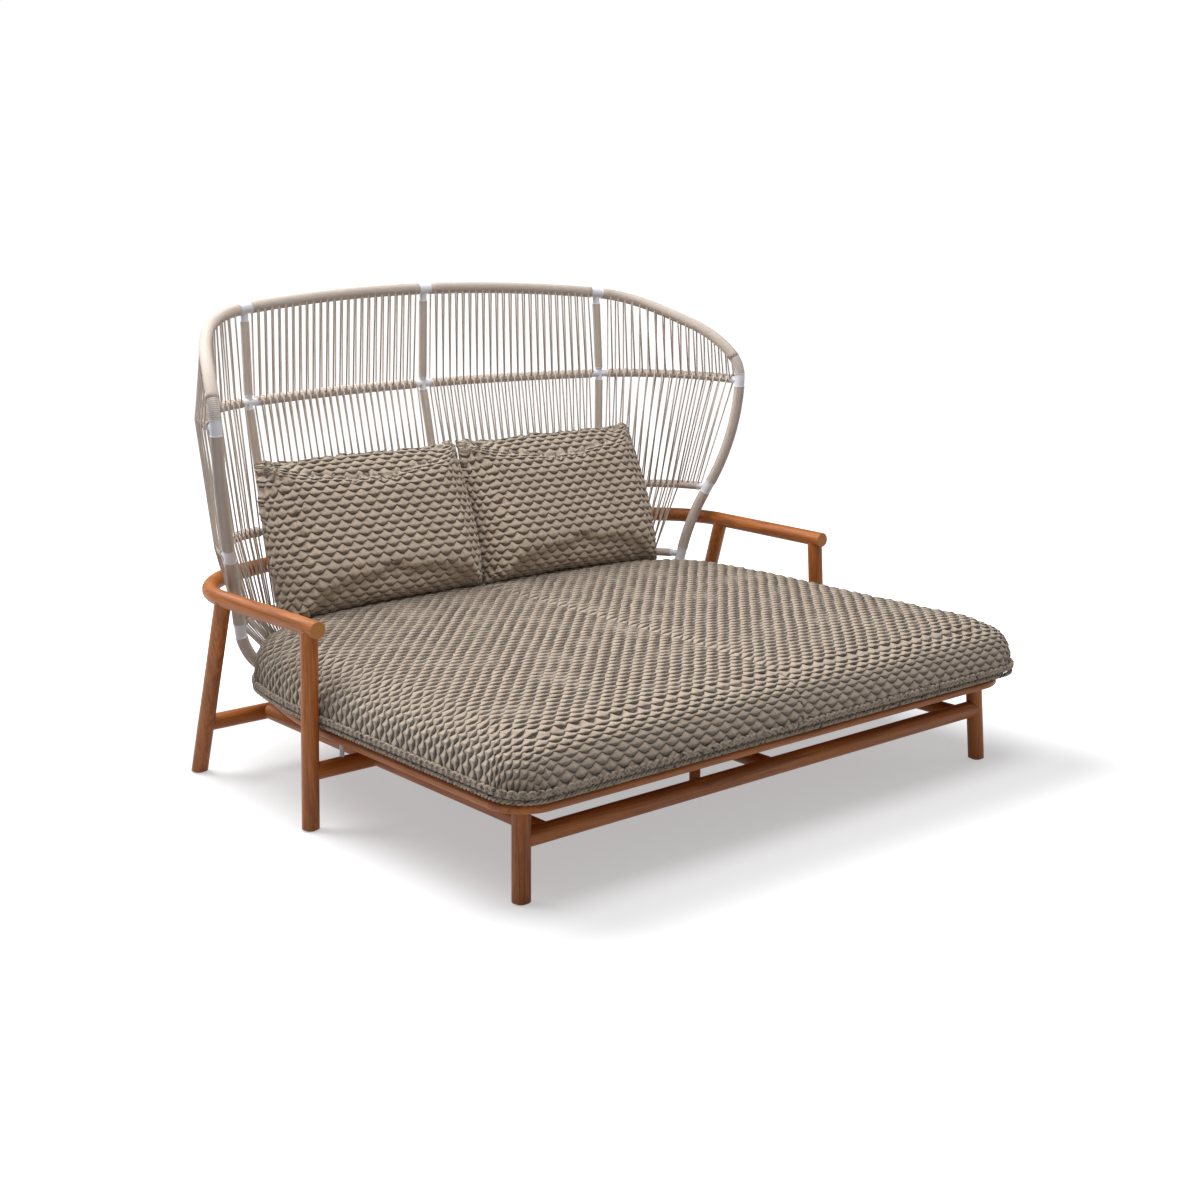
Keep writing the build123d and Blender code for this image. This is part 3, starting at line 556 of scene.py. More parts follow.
def fabric(name, colour, fold_shade_colour, width, rise):
    """Puffed outdoor fabric: fine weave on the puffs, painted shade in the folds between them, on the lower
    part of each puff and along its creases, soft sheen.
    """
    finish = Finish(name, 0.85, sheen=0.25)
    u, v, _ = finish.split(finish.coordinates("UV"))
    warp = finish.noise(finish.join(u, v), 9.0, 2.0)
    wobble = finish.noise(finish.join(u, v, 0.3), 70.0, 1.0)
    shift = finish.math("MULTIPLY", finish.math("SUBTRACT", warp, 0.5), 0.008)
    shift = finish.math("MULTIPLY_ADD", finish.math("SUBTRACT", wobble, 0.5), 0.006, shift)
    height, upward, marker = puffs(finish, finish.math("ADD", u, shift), finish.math("SUBTRACT", v, shift),
                                   width, rise)
    weave = finish.math("MULTIPLY", finish.math("SINE", finish.math("MULTIPLY", u, 4200.0)),
                        finish.math("SINE", finish.math("MULTIPLY", v, 4200.0)))
    crease_bump_and_shade = finish.noise(finish.join(finish.math("MULTIPLY", u, 0.7), v), 130.0, 4.0, 0.6, 0.8)
    fibre = finish.noise(finish.join(u, v), 900.0, 2.0)
    # Painted shade: the lower part of each puff is darkened to half the cloth colour, the upper part keeps
    # the full colour
    shade = finish.blend(finish.smooth(upward, 0.0, 0.75), tuple(v * 0.5 for v in colour), colour)
    shade = finish.blend(finish.math("MULTIPLY", marker, 0.3), shade, tuple(v * 0.6 for v in colour))
    # Painted shade: the cloth is darkened along its creases, and the same crease noise bumps them
    shade = finish.blend(finish.smooth(crease_bump_and_shade, 0.48, 0.75, 0.0, 0.5), shade, tuple(v * 0.55 for v in colour))
    # Painted shade: the folds between the puffs take the dark fold shade colour
    fold = finish.smooth(height, 0.34, 0.03)
    shade = finish.blend(finish.math("MULTIPLY", fold, 0.92), shade, fold_shade_colour)
    rough = finish.between(fibre, 0.3, 0.7, 0.78, 0.92)
    normal = finish.bump(finish.math("MULTIPLY_ADD", weave, 0.4, fibre), 0.0003, 0.5)
    normal = finish.bump(crease_bump_and_shade, 0.005, 0.6, normal)
    normal = finish.bump(height, 0.009, 0.9, normal)
    return finish.finish(shade, rough, normal)


def welt_finish(name, colour, fold_shade_colour):
    """Gathered edging of the same cloth, with painted shade in its gathers."""
    finish = Finish(name, 0.88, sheen=0.3)
    place = finish.coordinates()
    gather_bump_and_shade = finish.noise(place, 75.0, 3.0, 0.5, 0.6)
    fibre = finish.noise(place, 1200.0, 2.0)
    # Painted shade: the gathers are darkened toward the fold shade colour, and the same noise bumps them
    shade = finish.blend(finish.smooth(gather_bump_and_shade, 0.3, 0.5), fold_shade_colour, colour)
    rough = finish.between(fibre, 0.3, 0.7, 0.8, 0.95)
    height = finish.math("MULTIPLY_ADD", gather_bump_and_shade, 3.0, fibre)
    return finish.finish(shade, rough, finish.bump(height, 0.0015, 0.6))


def plastic(colour):
    finish = Finish("glide_plastic", 0.6)
    place = finish.coordinates()
    scuff = finish.noise(place, 260.0, 3.0)
    shade = finish.blend(finish.smooth(scuff, 0.5, 0.8), colour, tuple(min(1.0, v * 2.2) for v in colour))
    return finish.finish(shade, finish.between(scuff, 0.3, 0.7, 0.5, 0.7), finish.bump(scuff, 0.0003, 0.4))


# Cushions
def cad_copy(node, voxel, smoothing):
    """The node's shape as an even, closed and softened mesh."""
    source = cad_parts[node]
    mesh = bmesh.new()
    mesh.from_mesh(source.data)
    bmesh.ops.remove_doubles(mesh, verts=mesh.verts, dist=1e-5)
    data = bpy.data.meshes.new(node + "_cover")
    mesh.to_mesh(data)
    mesh.free()
    draft = bpy.data.objects.new(node + "_draft", data)
    bpy.context.scene.collection.objects.link(draft)
    remesh = draft.modifiers.new("Remesh", "REMESH")
    remesh.mode = "VOXEL"
    remesh.voxel_size = voxel
    bpy.context.view_layer.update()
    even = bpy.data.meshes.new_from_object(draft.evaluated_get(bpy.context.evaluated_depsgraph_get()))
    bpy.data.objects.remove(draft)
    mesh = bmesh.new()
    mesh.from_mesh(even)
    for _ in range(smoothing):
        bmesh.ops.smooth_vert(mesh, verts=mesh.verts, factor=0.5, use_axis_x=True, use_axis_y=True,
                              use_axis_z=True)
    mesh.to_mesh(even)
    mesh.free()
    return even


def inflate(data, pressure, cap, shrink):
    """Cloth filled by pressure, each point moving no further than the cap."""
    start = [vert.co.copy() for vert in data.vertices]
    normals = [vert.normal.copy() for vert in data.vertices]
    for vert, place, normal in zip(data.vertices, start, normals):
        vert.co = place - normal * shrink
    start = [vert.co.copy() for vert in data.vertices]
    piece = bpy.data.objects.new("cloth_draft", data)
    scene = bpy.context.scene
    scene.collection.objects.link(piece)
    cloth = piece.modifiers.new("Cloth", "CLOTH")
    settings = cloth.settings
    settings.quality = 4
    settings.mass = 0.3
    settings.tension_stiffness = settings.compression_stiffness = 12.0
    settings.shear_stiffness = 4.0
    settings.bending_stiffness = 0.4
    settings.use_pressure = True
    settings.uniform_pressure_force = pressure
    settings.effector_weights.gravity = 0.0
    for number in range(1, 21):
        scene.frame_set(number)
    filled = bpy.data.meshes.new_from_object(piece.evaluated_get(bpy.context.evaluated_depsgraph_get()))
    for vert, place in zip(filled.vertices, start):
        move = vert.co - place
        if move.length > cap:
            vert.co = place + move.normalized() * cap
    bpy.data.objects.remove(piece)
    scene.frame_set(1)
    return filled


def finer(data, cuts, chosen):
    """Divides the chosen faces and rounds them off."""
    mesh = bmesh.new()
    mesh.from_mesh(data)
    edges = {edge for face in mesh.faces if chosen(face) for edge in face.edges}
    bmesh.ops.subdivide_edges(mesh, edges=list(edges), cuts=cuts, use_grid_fill=True, smooth=0.0)
    for _ in range(cuts):
        bmesh.ops.smooth_vert(mesh, verts=mesh.verts, factor=0.5, use_axis_x=True, use_axis_y=True,
                              use_axis_z=True)
    mesh.to_mesh(data)
    mesh.free()


def fill_out(data, along, gap, toward, depth):
    """Stretches a cushion's edge until it meets its neighbour all along."""
    stretch = 0.02
    bins = {}
    for vert in data.vertices:
        key = round(along(vert.co) / stretch)
        bins[key] = min(bins.get(key, 1.0), gap(vert.co))
    low, high = min(bins), max(bins)
    for vert in data.vertices:
        place = along(vert.co) / stretch
        first = min(max(math.floor(place), low), high)
        second = min(first + 1, high)
        share = min(1.0, max(0.0, place - first))
        reach = bins.get(first, 0.0) * (1 - share) + bins.get(second, 0.0) * share
        vert.co += toward * (reach * (1 - smooth_share(gap(vert.co) - reach, 0.0, depth)))


def cloth_map(data, place_on_cloth):
    layer = data.uv_layers.new(name="ClothMap")
    values = [place_on_cloth(vert.co, vert.normal) for vert in data.vertices]
    flat = [0.0] * (2 * len(data.loops))
    for loop in data.loops:
        flat[2 * loop.index], flat[2 * loop.index + 1] = values[loop.vertex_index]
    layer.data.foreach_set("uv", flat)
    return values


def puff_out(data, places, sizes, taper):
    """Moves each point out by the height of the puff that it is on."""
    normals = [vert.normal.copy() for vert in data.vertices]
    for vert, normal, (u, v) in zip(data.vertices, normals, places):
        shift = noise.noise(Vector((u * 9.0, v * 9.0, 0.0))) * 0.004
        rise = puff_height(u + shift, v - shift, sizes.puff_width, sizes.puff_rise)
        vert.co += normal * (rise * sizes.puff_height * taper(vert.co, normal))


def keep_near(data, node, spare, slack):
    """Draws points that stand too far out of the node's solid, or lie too deep in it, back to its skin."""
    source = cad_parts[node].data
    source.calc_loop_triangles()
    tree = BVHTree.FromPolygons([vert.co for vert in source.vertices],
                                [tuple(tri.vertices) for tri in source.loop_triangles])
    for vert in data.vertices:
        near, normal, _, distance = tree.find_nearest(vert.co)
        height = (vert.co - near).dot(normal)
        held = min(max(height, -slack), spare(near, normal))
        if held != height:
            vert.co = near + normal * held


def square_up(data, centre, up, half_width, half_height):
    """Gives a cushion seen from the front straight edges and rounded corners."""
    def flat(place):
        local = place - centre
        return local.x, local.dot(up)

    rims = {}
    for vert in data.vertices:
        x, y = flat(vert.co)
        key = round(math.atan2(y, x) / OUTLINE_STEP) % OUTLINE_STEPS
        rims[key] = max(rims.get(key, 0.0), math.hypot(x, y))
    for vert in data.vertices:
        x, y = flat(vert.co)
        angle = math.atan2(y, x)
        place = (angle / OUTLINE_STEP) % OUTLINE_STEPS
        first = math.floor(place)
        share = place - first
        rim = rims[first % OUTLINE_STEPS] * (1 - share) + rims[(first + 1) % OUTLINE_STEPS] * share
        wanted = (abs(math.cos(angle) / half_width) ** SQUARENESS
                  + abs(math.sin(angle) / half_height) ** SQUARENESS) ** (-1 / SQUARENESS)
        ripple = 0.0025 * noise.noise(Vector((x * 22.0, y * 22.0, centre.x)))
        grow = (wanted + ripple) / rim - 1
        pull = grow * smooth_share(math.hypot(x, y) / rim, 0.45, 1.0)
        vert.co += Vector((x, 0, 0)) * pull + up * (y * pull)


def seat_cloth(place, normal):
    """The place on the seat's cloth, which goes on down the sides and shifts beyond the middle seam."""
    out = Vector((normal.x, normal.y)) * (SEAT_BASE + CROWN - place.z)
    over = 0.5 if place.x > 0 else 0.0
    return place.x + out.x + PATTERN_START + over * SEAM_SHIFT[0], place.y + out.y + over * SEAM_SHIFT[1]


def back_local(side):
    """A back cushion's middle, with the ways up and forward of its lean."""
    up = Vector((0, math.sin(LEAN), math.cos(LEAN)))
    forward = Vector((0, -math.cos(LEAN), math.sin(LEAN)))
    low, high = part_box("back_cushion_" + side)
    return (low + high) / 2, up, forward


def seat_outline(outset, height):
    """Right half of the seat cushion's outline, from the middle of the front to the middle of the rear."""
    half = SEAT_HALF + outset
    front, rear = SEAT_FRONT - outset, SEAT_REAR + outset * 0.35
    corner = SEAT_CORNER * half / SEAT_HALF
    places = [spot(share * half, front + depth * (rear - front), height) for share, depth in SEAT_SIDE]
    points = [spot(0, front, height), spot(half - corner, front, height)]
    bend, _ = arcs([points[-1], spot(half, front + corner, height)], (1, 0, 0))
    side, _ = arcs(places, (0, 1, 0))
    return points + bend[1:] + side


# Operators
def material(name):
    return bpy.data.materials[name]


class DAYBED_OT_finishes(bpy.types.Operator):
    """Makes the finishes and gives the timber, metal and glide nodes theirs"""
    bl_idname = "daybed.finishes"
    bl_label = "Finishes"

    def execute(self, context):
        colours, sizes = context.scene.daybed_colours, context.scene.daybed_sizes
        light, dark = tuple(colours.teak_light), tuple(colours.teak_dark)
        by_axis = [teak("teak_grain_" + "xyz"[axis], axis, light, dark) for axis in range(3)]
        metal = white_metal(tuple(colours.metal))
        glide = plastic(tuple(colours.glide))
        end_grain("teak_end_grain", tuple(colours.end_grain), light)
        cord_finish("strung_cord", tuple(colours.cord), 2600.0)
        cord_finish("wound_cord", tuple(colours.wrap), 2600.0)
        fabric("puffed_fabric", tuple(colours.fabric), tuple(colours.fabric_fold_shade), sizes.puff_width,
               sizes.puff_rise)
        # Painted shade: the welt is the cushion cloth darkened to 0.8, a shaded copy of it
        welt_finish("welt_fabric", tuple(v * 0.8 for v in colours.fabric), tuple(colours.fabric_fold_shade))
        along_x = ("front_stretcher", "rear_cross_rail", "cross_rail_inner_left", "cross_rail_inner_right",
                   "cross_rail_outer_left", "cross_rail_outer_right", "seat_ring_front", "seat_ring_rear",
                   "arm_rail_rear", "slat_bearers")
        along_y = ("side_rail_left", "side_rail_right", "centre_rail", "seat_ring_side_left",
                   "seat_ring_side_right", "arm_rail_left", "arm_rail_right", "seat_slats")
        for name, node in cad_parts.items():
            if name == "spacer_posts" or name.startswith("back_") and "cushion" not in name:
                coat = metal
            elif name == "leg_glides":
                coat = glide
            elif name in along_x:
                coat = by_axis[0]
            elif name in along_y:
                coat = by_axis[1]
            else:
                coat = by_axis[2]
            node.data.materials.clear()
            node.data.materials.append(coat)
            for slot in node.material_slots:
                slot.material = coat
        return {"FINISHED"}


class DAYBED_OT_rail_ends(bpy.types.Operator):
    """Adds the sawn end faces of the two arm rails"""
    bl_idname = "daybed.rail_ends"
    bl_label = "Arm rail ends"

    def execute(self, context):
        centre, onward = spot(911, 762, 521), spot(921, 1231, 521)
        radius, depth, edge_round = 0.0223, 0.0016, 0.0004
        along = (centre - onward).normalized()
        mesh = bmesh.new()
        for side in (1, -1):
            axis = Vector((along.x * side, along.y, 0))
            place = Vector((centre.x * side, centre.y, centre.z)) + axis * 0.0006
            turn = axis.to_track_quat("Z", "Y").to_matrix().to_4x4()
            made = bmesh.ops.create_cone(mesh, cap_ends=True, segments=48, radius1=radius,
                                         radius2=radius - depth / 2, depth=depth,
                                         matrix=Matrix.Translation(place) @ turn)
            rim = [edge for vert in made["verts"] for edge in vert.link_edges
                   if len(edge.link_faces) == 2 and edge.calc_face_angle(0) > 0.7]
            bmesh.ops.bevel(mesh, geom=list(set(rim)), offset=edge_round, segments=2, profile=0.5,
                            affect="EDGES", material=-1)
        data = bpy.data.meshes.new("arm_rail_ends")
        mesh.to_mesh(data)
        mesh.free()
        add_piece("arm_rail_ends", data, material("teak_end_grain"))
        return {"FINISHED"}


class DAYBED_OT_wound_cord(bpy.types.Operator):
    """Winds the tubes of the back with cord"""
    bl_idname = "daybed.wound_cord"
    bl_label = "Wound cord"

    def execute(self, context):
        sizes = context.scene.daybed_sizes
        pitch = sizes.ring_pitch
        coat = material("wound_cord")
        top, shoulder = PATHS["top"], PATHS["shoulder"]
        # The top tube and the shoulders have cord laid lengthwise, up to a band of coarse turns
        band = shoulder.length - COLLAR - COARSE_BAND
        cover = top.run(COLLAR, top.length - COLLAR, 0.02)
        add_piece("wrap_top_cover", ridged_sleeve([cover, mirrored(cover)], TUBE, RIDGES), coat,
                  replaces=["wrap_top"])
        cover = shoulder.run(COLLAR, band, 0.015)
        for side, points in (("right", cover), ("left", mirrored(cover))):
            add_piece("wrap_shoulder_" + side, ridged_sleeve([points], TUBE, RIDGES), coat)
        edge = [wound_line(shoulder, band, shoulder.length - COLLAR, pitch * 1.3, 0.9)]
        edge += [wound_line(PATHS[key], COLLAR, PATHS[key].length - COLLAR, pitch)
                 for key in ("flank", "shank", "toe")]
        for side, lines in (("right", edge), ("left", [(mirrored(points), radii) for points, radii in edge])):
            add_piece("wrap_edge_cover_" + side, tube_lines("wrap_edge_cover", lines, TUBE, 20), coat,
                      replaces=["wrap_edge_" + side])
        bottom, foot = PATHS["bottom"], PATHS["rib_foot"]
        lines = [wound_line(bottom, COLLAR, foot - COLLAR, pitch),
                 wound_line(bottom, foot + COLLAR, bottom.length - COLLAR, pitch)]
        add_piece("wrap_bottom_cover", tube_lines("wrap_bottom_cover", both_sides(lines), TUBE, 20), coat,
                  replaces=["wrap_bottom"])
        outer, inner = ([wound_line(path, start, end, pitch, 0.95) for path, start, end
                         in straight_runs(PATHS[key])] for key in ("rib", "middle"))
        add_piece("wrap_ribs_cover", tube_lines("wrap_ribs_cover", both_sides(outer) + inner, RIB, 16), coat,
                  replaces=["wrap_ribs"])
        for name, (bay, wing) in PATHS["rails"].items():
            lines = [wound_line(bay, RIB_END, bay.length - RIB_END, pitch),
                     wound_line(wing, RIB_END, wing.length - TUBE_END, pitch)]
            piece = "wrap_%s_rail_cover" % name
            add_piece(piece, tube_lines(piece, both_sides(lines), CROSS, 16), coat,
                      replaces=["wrap_%s_rail" % name])
        return {"FINISHED"}


class DAYBED_OT_collar_lips(bpy.types.Operator):
    """Adds the thin beads at the ends of the white collars"""
    bl_idname = "daybed.collar_lips"
    bl_label = "Collar lips"

    def execute(self, context):
        lip = context.scene.daybed_sizes.lip
        stops = []
        for key in ("top", "shoulder", "flank", "shank", "toe", "bottom"):
            path = PATHS[key]
            stops += [(*path.at(COLLAR), TUBE), (*path.at(path.length - COLLAR), TUBE)]
        foot = PATHS["rib_foot"]
        stops += [(*PATHS["bottom"].at(foot - COLLAR), TUBE), (*PATHS["bottom"].at(foot + COLLAR), TUBE)]
        for bay, wing in PATHS["rails"].values():
            stops += [(*bay.at(RIB_END), CROSS), (*bay.at(bay.length - RIB_END), CROSS),
                      (*wing.at(RIB_END), CROSS), (*wing.at(wing.length - TUBE_END), CROSS)]
        for points in (PATHS["rib"], PATHS["middle"]):
            for path, start, end in straight_runs(points):
                stops += [(*path.at(start), RIB), (*path.at(end), RIB)]
        lines = []
        for centre, along, radius in stops:
            side = along.orthogonal().normalized()
            other = along.cross(side)
            turns = [math.tau * index / LIP_POINTS for index in range(LIP_POINTS)]
            ring = [centre + (side * math.cos(turn) + other * math.sin(turn)) * (radius - lip * LIP_SUNK)
                    for turn in turns]
            lines.append((ring, None))
            if centre.x > 0.03:
                lines.append((mirrored(ring), None))
        add_piece("collar_lips", tube_lines("collar_lips", lines, lip / 2, 8, closed=True),
                  material("white_coating"))
        return {"FINISHED"}


# Where a strand leaves or reaches a tube: the angle round the tube, from its front over its top, and the
# height over its skin in radii of the cord
BOTTOM_LEFT = ((90, -1.0), (45, 0.1))
RAIL_LEFT = ((75, -1.2), (50, 0.5), (20, 1.0))
RAIL_REACHED = ((-5, 0.9), (12, 0.1), (35, -1.3))
TOP_REACHED = ((-40, 0.2), (-15, -1.2))
REAR_START = ((90, -1.0), (135, 0.1))
REAR_END = ((-140, 0.2), (-165, -1.2))


def strand_lines(stations, half_shift, radius):
    """Lines of one strand: the front runs, the loops over the rails and the rear run."""
    lines = []
    marks = []
    for index, (path, distance, tube) in enumerate(stations):
        centre, along = path.at(distance)
        below = stations[max(index - 1, 0)]
        above = stations[min(index + 1, len(stations) - 1)]
        up = (above[0].at(above[1])[0] - below[0].at(below[1])[0]).normalized()
        front = along.cross(up).normalized()
        over = front.cross(along).normalized()
        marks.append((centre, along, front, over, tube))

    def beside(mark, degrees, spare, shift=0.0):
        centre, along, front, over, tube = mark
        angle = math.radians(degrees)
        return (centre + along * shift
                + (front * math.cos(angle) + over * math.sin(angle)) * (tube + radius * spare))

    last = len(marks) - 1
    for index in range(last):
        low, high = marks[index], marks[index + 1]
        if index:
            start = [beside(low, degrees, spare, half_shift) for degrees, spare in RAIL_LEFT]
        else:
            start = [beside(low, degrees, spare) for degrees, spare in BOTTOM_LEFT]
        if index + 1 < last:
            end = [beside(high, degrees, spare, -half_shift) for degrees, spare in RAIL_REACHED]
        else:
            end = [beside(high, degrees, spare) for degrees, spare in TOP_REACHED]
        lines.append((start + end, None))
    for mark in marks[1:-1]:
        lines.append(([beside(mark, degrees, 0.25 if 20 < degrees < 160 else -1.0,
                              half_shift * (0.4 + degrees / 180)) for degrees in LOOP_DEGREES], None))
    rear = [beside(marks[0], degrees, spare) for degrees, spare in REAR_START]
    rear += [beside(mark, 180, 0.9) for mark in marks[1:-1]]
    rear += [beside(marks[-1], degrees, spare) for degrees, spare in REAR_END]
    lines.append((rear, None))
    return lines


class DAYBED_OT_strung_cord(bpy.types.Operator):
    """Strings the bays and wings of the back with cord"""
    bl_idname = "daybed.strung_cord"
    bl_label = "Strung cord"

    def execute(self, context):
        radius = context.scene.daybed_sizes.cord / 2
        rails, top, bottom = PATHS["rails"], PATHS["top"], PATHS["bottom"]
        shoulder, foot = PATHS["shoulder"], PATHS["rib_foot"]

        def inner(length, share, end=STRAND_MARGIN):
            return STRAND_MARGIN + share * (length - STRAND_MARGIN - end)

        bay = []
        for index in range(BAY_STRANDS):
            share = (index + 0.5) / BAY_STRANDS
            stations = [(bottom, inner(foot, share), TUBE)]
            for name in ("bottom", "lower", "mid"):
                path = rails[name][0]
                stations.append((path, inner(path.length, share), CROSS))
            stations.append((top, inner(top.length, share), TUBE))
            bay += strand_lines(stations, top.length / BAY_STRANDS / 4, radius)
        wing = []
        for index in range(WING_STRANDS):
            share = (index + 0.5) / WING_STRANDS
            stations = []
            if index < WING_LONG:
                low_share = WING_BOTTOM_SHARE * index / WING_LONG
                path = rails["bottom"][1]
                spare = (1 - foot / bottom.length) * inner(path.length, low_share, 0) / path.length
                stations.append((bottom, foot + spare * bottom.length, TUBE))
                stations.append((path, inner(path.length, low_share), CROSS))
            for name in ("lower", "mid"):
                path = rails[name][1]
                stations.append((path, inner(path.length, share), CROSS))
            centre = stations[-1][0].at(stations[-1][1])[0]
            head = shoulder.find(centre.x - centre.y, lambda point: point.x - point.y)
            stations.append((shoulder, head, TUBE))
            wing += strand_lines(stations, WING_HALF_SHIFT, radius)
        coat = material("strung_cord")
        for side in ("right", "left"):
            for name, lines in (("bay", bay), ("wing", wing)):
                if side == "left":
                    lines = [(mirrored(points), radii) for points, radii in lines]
                piece = "cord_%s_%s_strung" % (name, side)
                add_piece(piece, tube_lines(piece, lines, radius, 8), coat,
                          replaces=["cord_%s_%s" % (name, side)])
        return {"FINISHED"}


class DAYBED_OT_seat_cushion(bpy.types.Operator):
    """Makes the seat cushion and its welt"""
    bl_idname = "daybed.seat_cushion"
    bl_label = "Seat cushion"

    def execute(self, context):
        sizes = context.scene.daybed_sizes
        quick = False
        data = cad_copy("seat_cushion", VOXEL, 6)
        if not quick:
            data = inflate(data, *SEAT_FILL)
        keep_near(data, "seat_cushion", lambda place, normal: SWELL if normal.z > -0.3 else -CLEAR, 0.003)
        finer(data, 2, lambda face: face.normal.z > -0.4)
        for vert in [vert for vert in data.vertices if vert.normal.z > 0.3]:
            dip = math.exp(-abs(vert.co.x) / SEAM_SPREAD) * smooth_share(vert.co.y + MID_DEPTH, 0.02, 0.16)
            vert.co.z -= SEAM_DIP * dip
        places = cloth_map(data, seat_cloth)

        def taper(place, normal):
            under = min(1.0, max(0.0, (place.z - SEAT_BASE - 0.012) / 0.02))
            seam = min(1.0, max(0.0, (abs(place.x) - 0.002) / 0.008)) if normal.z > 0.4 else 1.0
            return under * seam

        puff_out(data, places, sizes, taper)
        low = [(vert, vert.normal.copy()) for vert in data.vertices if vert.co.z < GROOVE_TOP]
        for vert, normal in low:
            groove = math.exp(-((vert.co.z - GROOVE_HEIGHT) / GROOVE_SPREAD) ** 2)
            vert.co -= Vector((normal.x, normal.y, 0)) * GROOVE_DEPTH * groove
            vert.co.z = max(vert.co.z, SEAT_BASE)
        data.shade_smooth()
        piece = add_piece("seat_cushion_cover", data, material("puffed_fabric"),
                          "seat_cushion_body", ["seat_cushion"])
        ruffles = [self.ruffle(outset, height) for outset, height in RUFFLES]
        piping = [self.twisted(*PIPING, strand) for strand in range(2)]
        for name, lines, share, sides in (("seat_welt_upper", ruffles, 0.5, 10),
                                          ("seat_welt_lower", piping, 0.42, 8)):
            add_piece(name, tube_lines(name, lines, sizes.welt * share, sides, closed=True),
                      material("welt_fabric"), "seat_cushion_body")
        return {"FINISHED"}

    def rounds(self, outset, height):
        """Points all round the seat cushion, with the way along it at each, and their distance."""
        half = seat_outline(outset, height)
        ring = half + mirrored(half)[::-1][1:-1]
        path = Path(ring + ring[:1])
        count = round(path.length / WELT_STEP)
        distances = [path.length * index / count for index in range(count)]
        return [(path.at(distance), distance) for distance in distances]

    def ruffle(self, outset, height):
        """A gathered seam edge that waves up and down."""
        points, radii = [], []
        for (point, along), distance in self.rounds(outset, height):
            turn = distance / RUFFLE_WAVE * math.tau + 1.5 * noise.noise(point * 12.0)
            out = along.cross(Vector((0, 0, 1)))
            points.append(point + out * (0.0012 * math.cos(turn)) + Vector((0, 0, 0.0036 * math.sin(turn))))
            radii.append(0.95 + 0.3 * math.sin(2 * turn + 1.0) + 0.15 * noise.noise(point * 60.0))
        return points, radii

    def twisted(self, outset, height, strand):
        """One of the two strands of the twisted piping under the ruffle."""
        points = []
        for (point, along), distance in self.rounds(outset, height):
            turn = distance / PIPING_TWIST * math.tau + strand * math.pi + 0.8 * noise.noise(point * 9.0)
            out = along.cross(Vector((0, 0, 1)))
            points.append(point + out * (0.0026 * math.cos(turn)) + Vector((0, 0, 0.0034 * math.sin(turn))))
        return points, None


class DAYBED_OT_back_cushions(bpy.types.Operator):
    """Makes the two back cushions"""
    bl_idname = "daybed.back_cushions"
    bl_label = "Back cushions"

    def execute(self, context):
        sizes = context.scene.daybed_sizes
        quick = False
        for side in ("left", "right"):
            node = "back_cushion_" + side
            centre, up, forward = back_local(side)
            data = cad_copy(node, VOXEL, 4)
            if not quick:
                data = inflate(data, *BACK_FILL)
            keep_near(data, node, lambda place, normal: SWELL if normal.y < -0.2 else -CLEAR, 0.006)
            low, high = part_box(node)
            outward = 1 if side == "right" else -1
            half_height = (high.z - low.z) / 2 / up.z * 1.015
            square_up(data, centre, up, abs(centre.x) - 0.0005, half_height)
            for vert in data.vertices:
                share = (vert.co - centre).dot(up) / half_height
                vert.co.y += (SAG_BACK * smooth_share(share, -0.5, 1.0)
                              - FOOT_FORWARD * smooth_share(-share, -0.2, 1.0))
                inner = smooth_share(outward * (centre.x - vert.co.x) / abs(centre.x), 0.0, 1.0)
                vert.co.x -= outward * CORNER_IN * inner * smooth_share(share, -0.2, 0.9)
            keep_near(data, node, lambda place, normal: -CLEAR if normal.y > 0.2 else 0.03, 0.2)
            floor = bpy.data.objects["seat_cushion_cover"].data
            tree = BVHTree.FromPolygons([vert.co for vert in floor.vertices],
                                        [tuple(face.vertices) for face in floor.polygons])

            def above_seat(place):
                hit = tree.ray_cast(Vector((place.x, place.y, 0.6)), Vector((0, 0, -1)))[0]
                return place.z - (hit.z if hit else SEAT_BASE)

            fill_out(data, lambda place: place.x, lambda place: above_seat(place) + 0.006,
                     Vector((0, 0, -1)), 0.14)
            finer(data, 2, lambda face: True)

            def cloth_place(place, normal):
                local = place - centre
                deep = HALF_DEPTH - abs(local.dot(forward))
                return (local.x + normal.x * deep + 0.02,
                        local.dot(up) + normal.dot(up) * deep)

            places = cloth_map(data, cloth_place)

            def taper(place, normal):
                local = place - centre
                seam = min(1.0, abs(local.dot(forward)) / 0.006)
                rear = 0.35 if normal.y > 0.3 else 1.0
                return (seam * 1.6 - 0.6) * rear

            puff_out(data, places, sizes, taper)
            for vert in data.vertices:
                if vert.co.z < 0.5:
                    vert.co.z += max(0.0, 0.001 - above_seat(vert.co))
                vert.co.x = outward * max(outward * vert.co.x, MIDDLE_CLEAR)
            data.shade_smooth()
            piece = add_piece(node + "_cover", data, material("puffed_fabric"),
                              node + "_body", [node])
        return {"FINISHED"}


# Each lamp's name, place, target, size and power
LAMPS = (
    ("key", (-1.4, 2.2, 3.8), (0.1, -0.1, 0.4), 2.8, 205.0),
    ("fill", (-0.4, -0.9, 5.0), (0.0, 0.0, 0.5), 2.6, 150.0),
    ("side", (3.8, -2.0, 2.8), (0.0, 0.0, 0.5), 2.6, 12.0),
)
# The floor as the camera sees it glows: its glow is dimmed within these half sizes of the daybed, a painted
# shadow round it in which the real cast shadow shows, and white past the reach
GLOW_HALF_WIDTH, GLOW_HALF_DEPTH, GLOW_REACH, GLOW_PAINTED_SHADOW = 1.0, 0.95, 0.5, 0.45
WORLD_LIGHT = 0.15
CAMERA_LENS = 52.8846
CAMERA_PLACE = (-3.10873, -3.65427 + 0.726 - MID_DEPTH, 1.57109)
CAMERA_TURN = (math.radians(90) - 0.22562, 0.0, -0.70062)


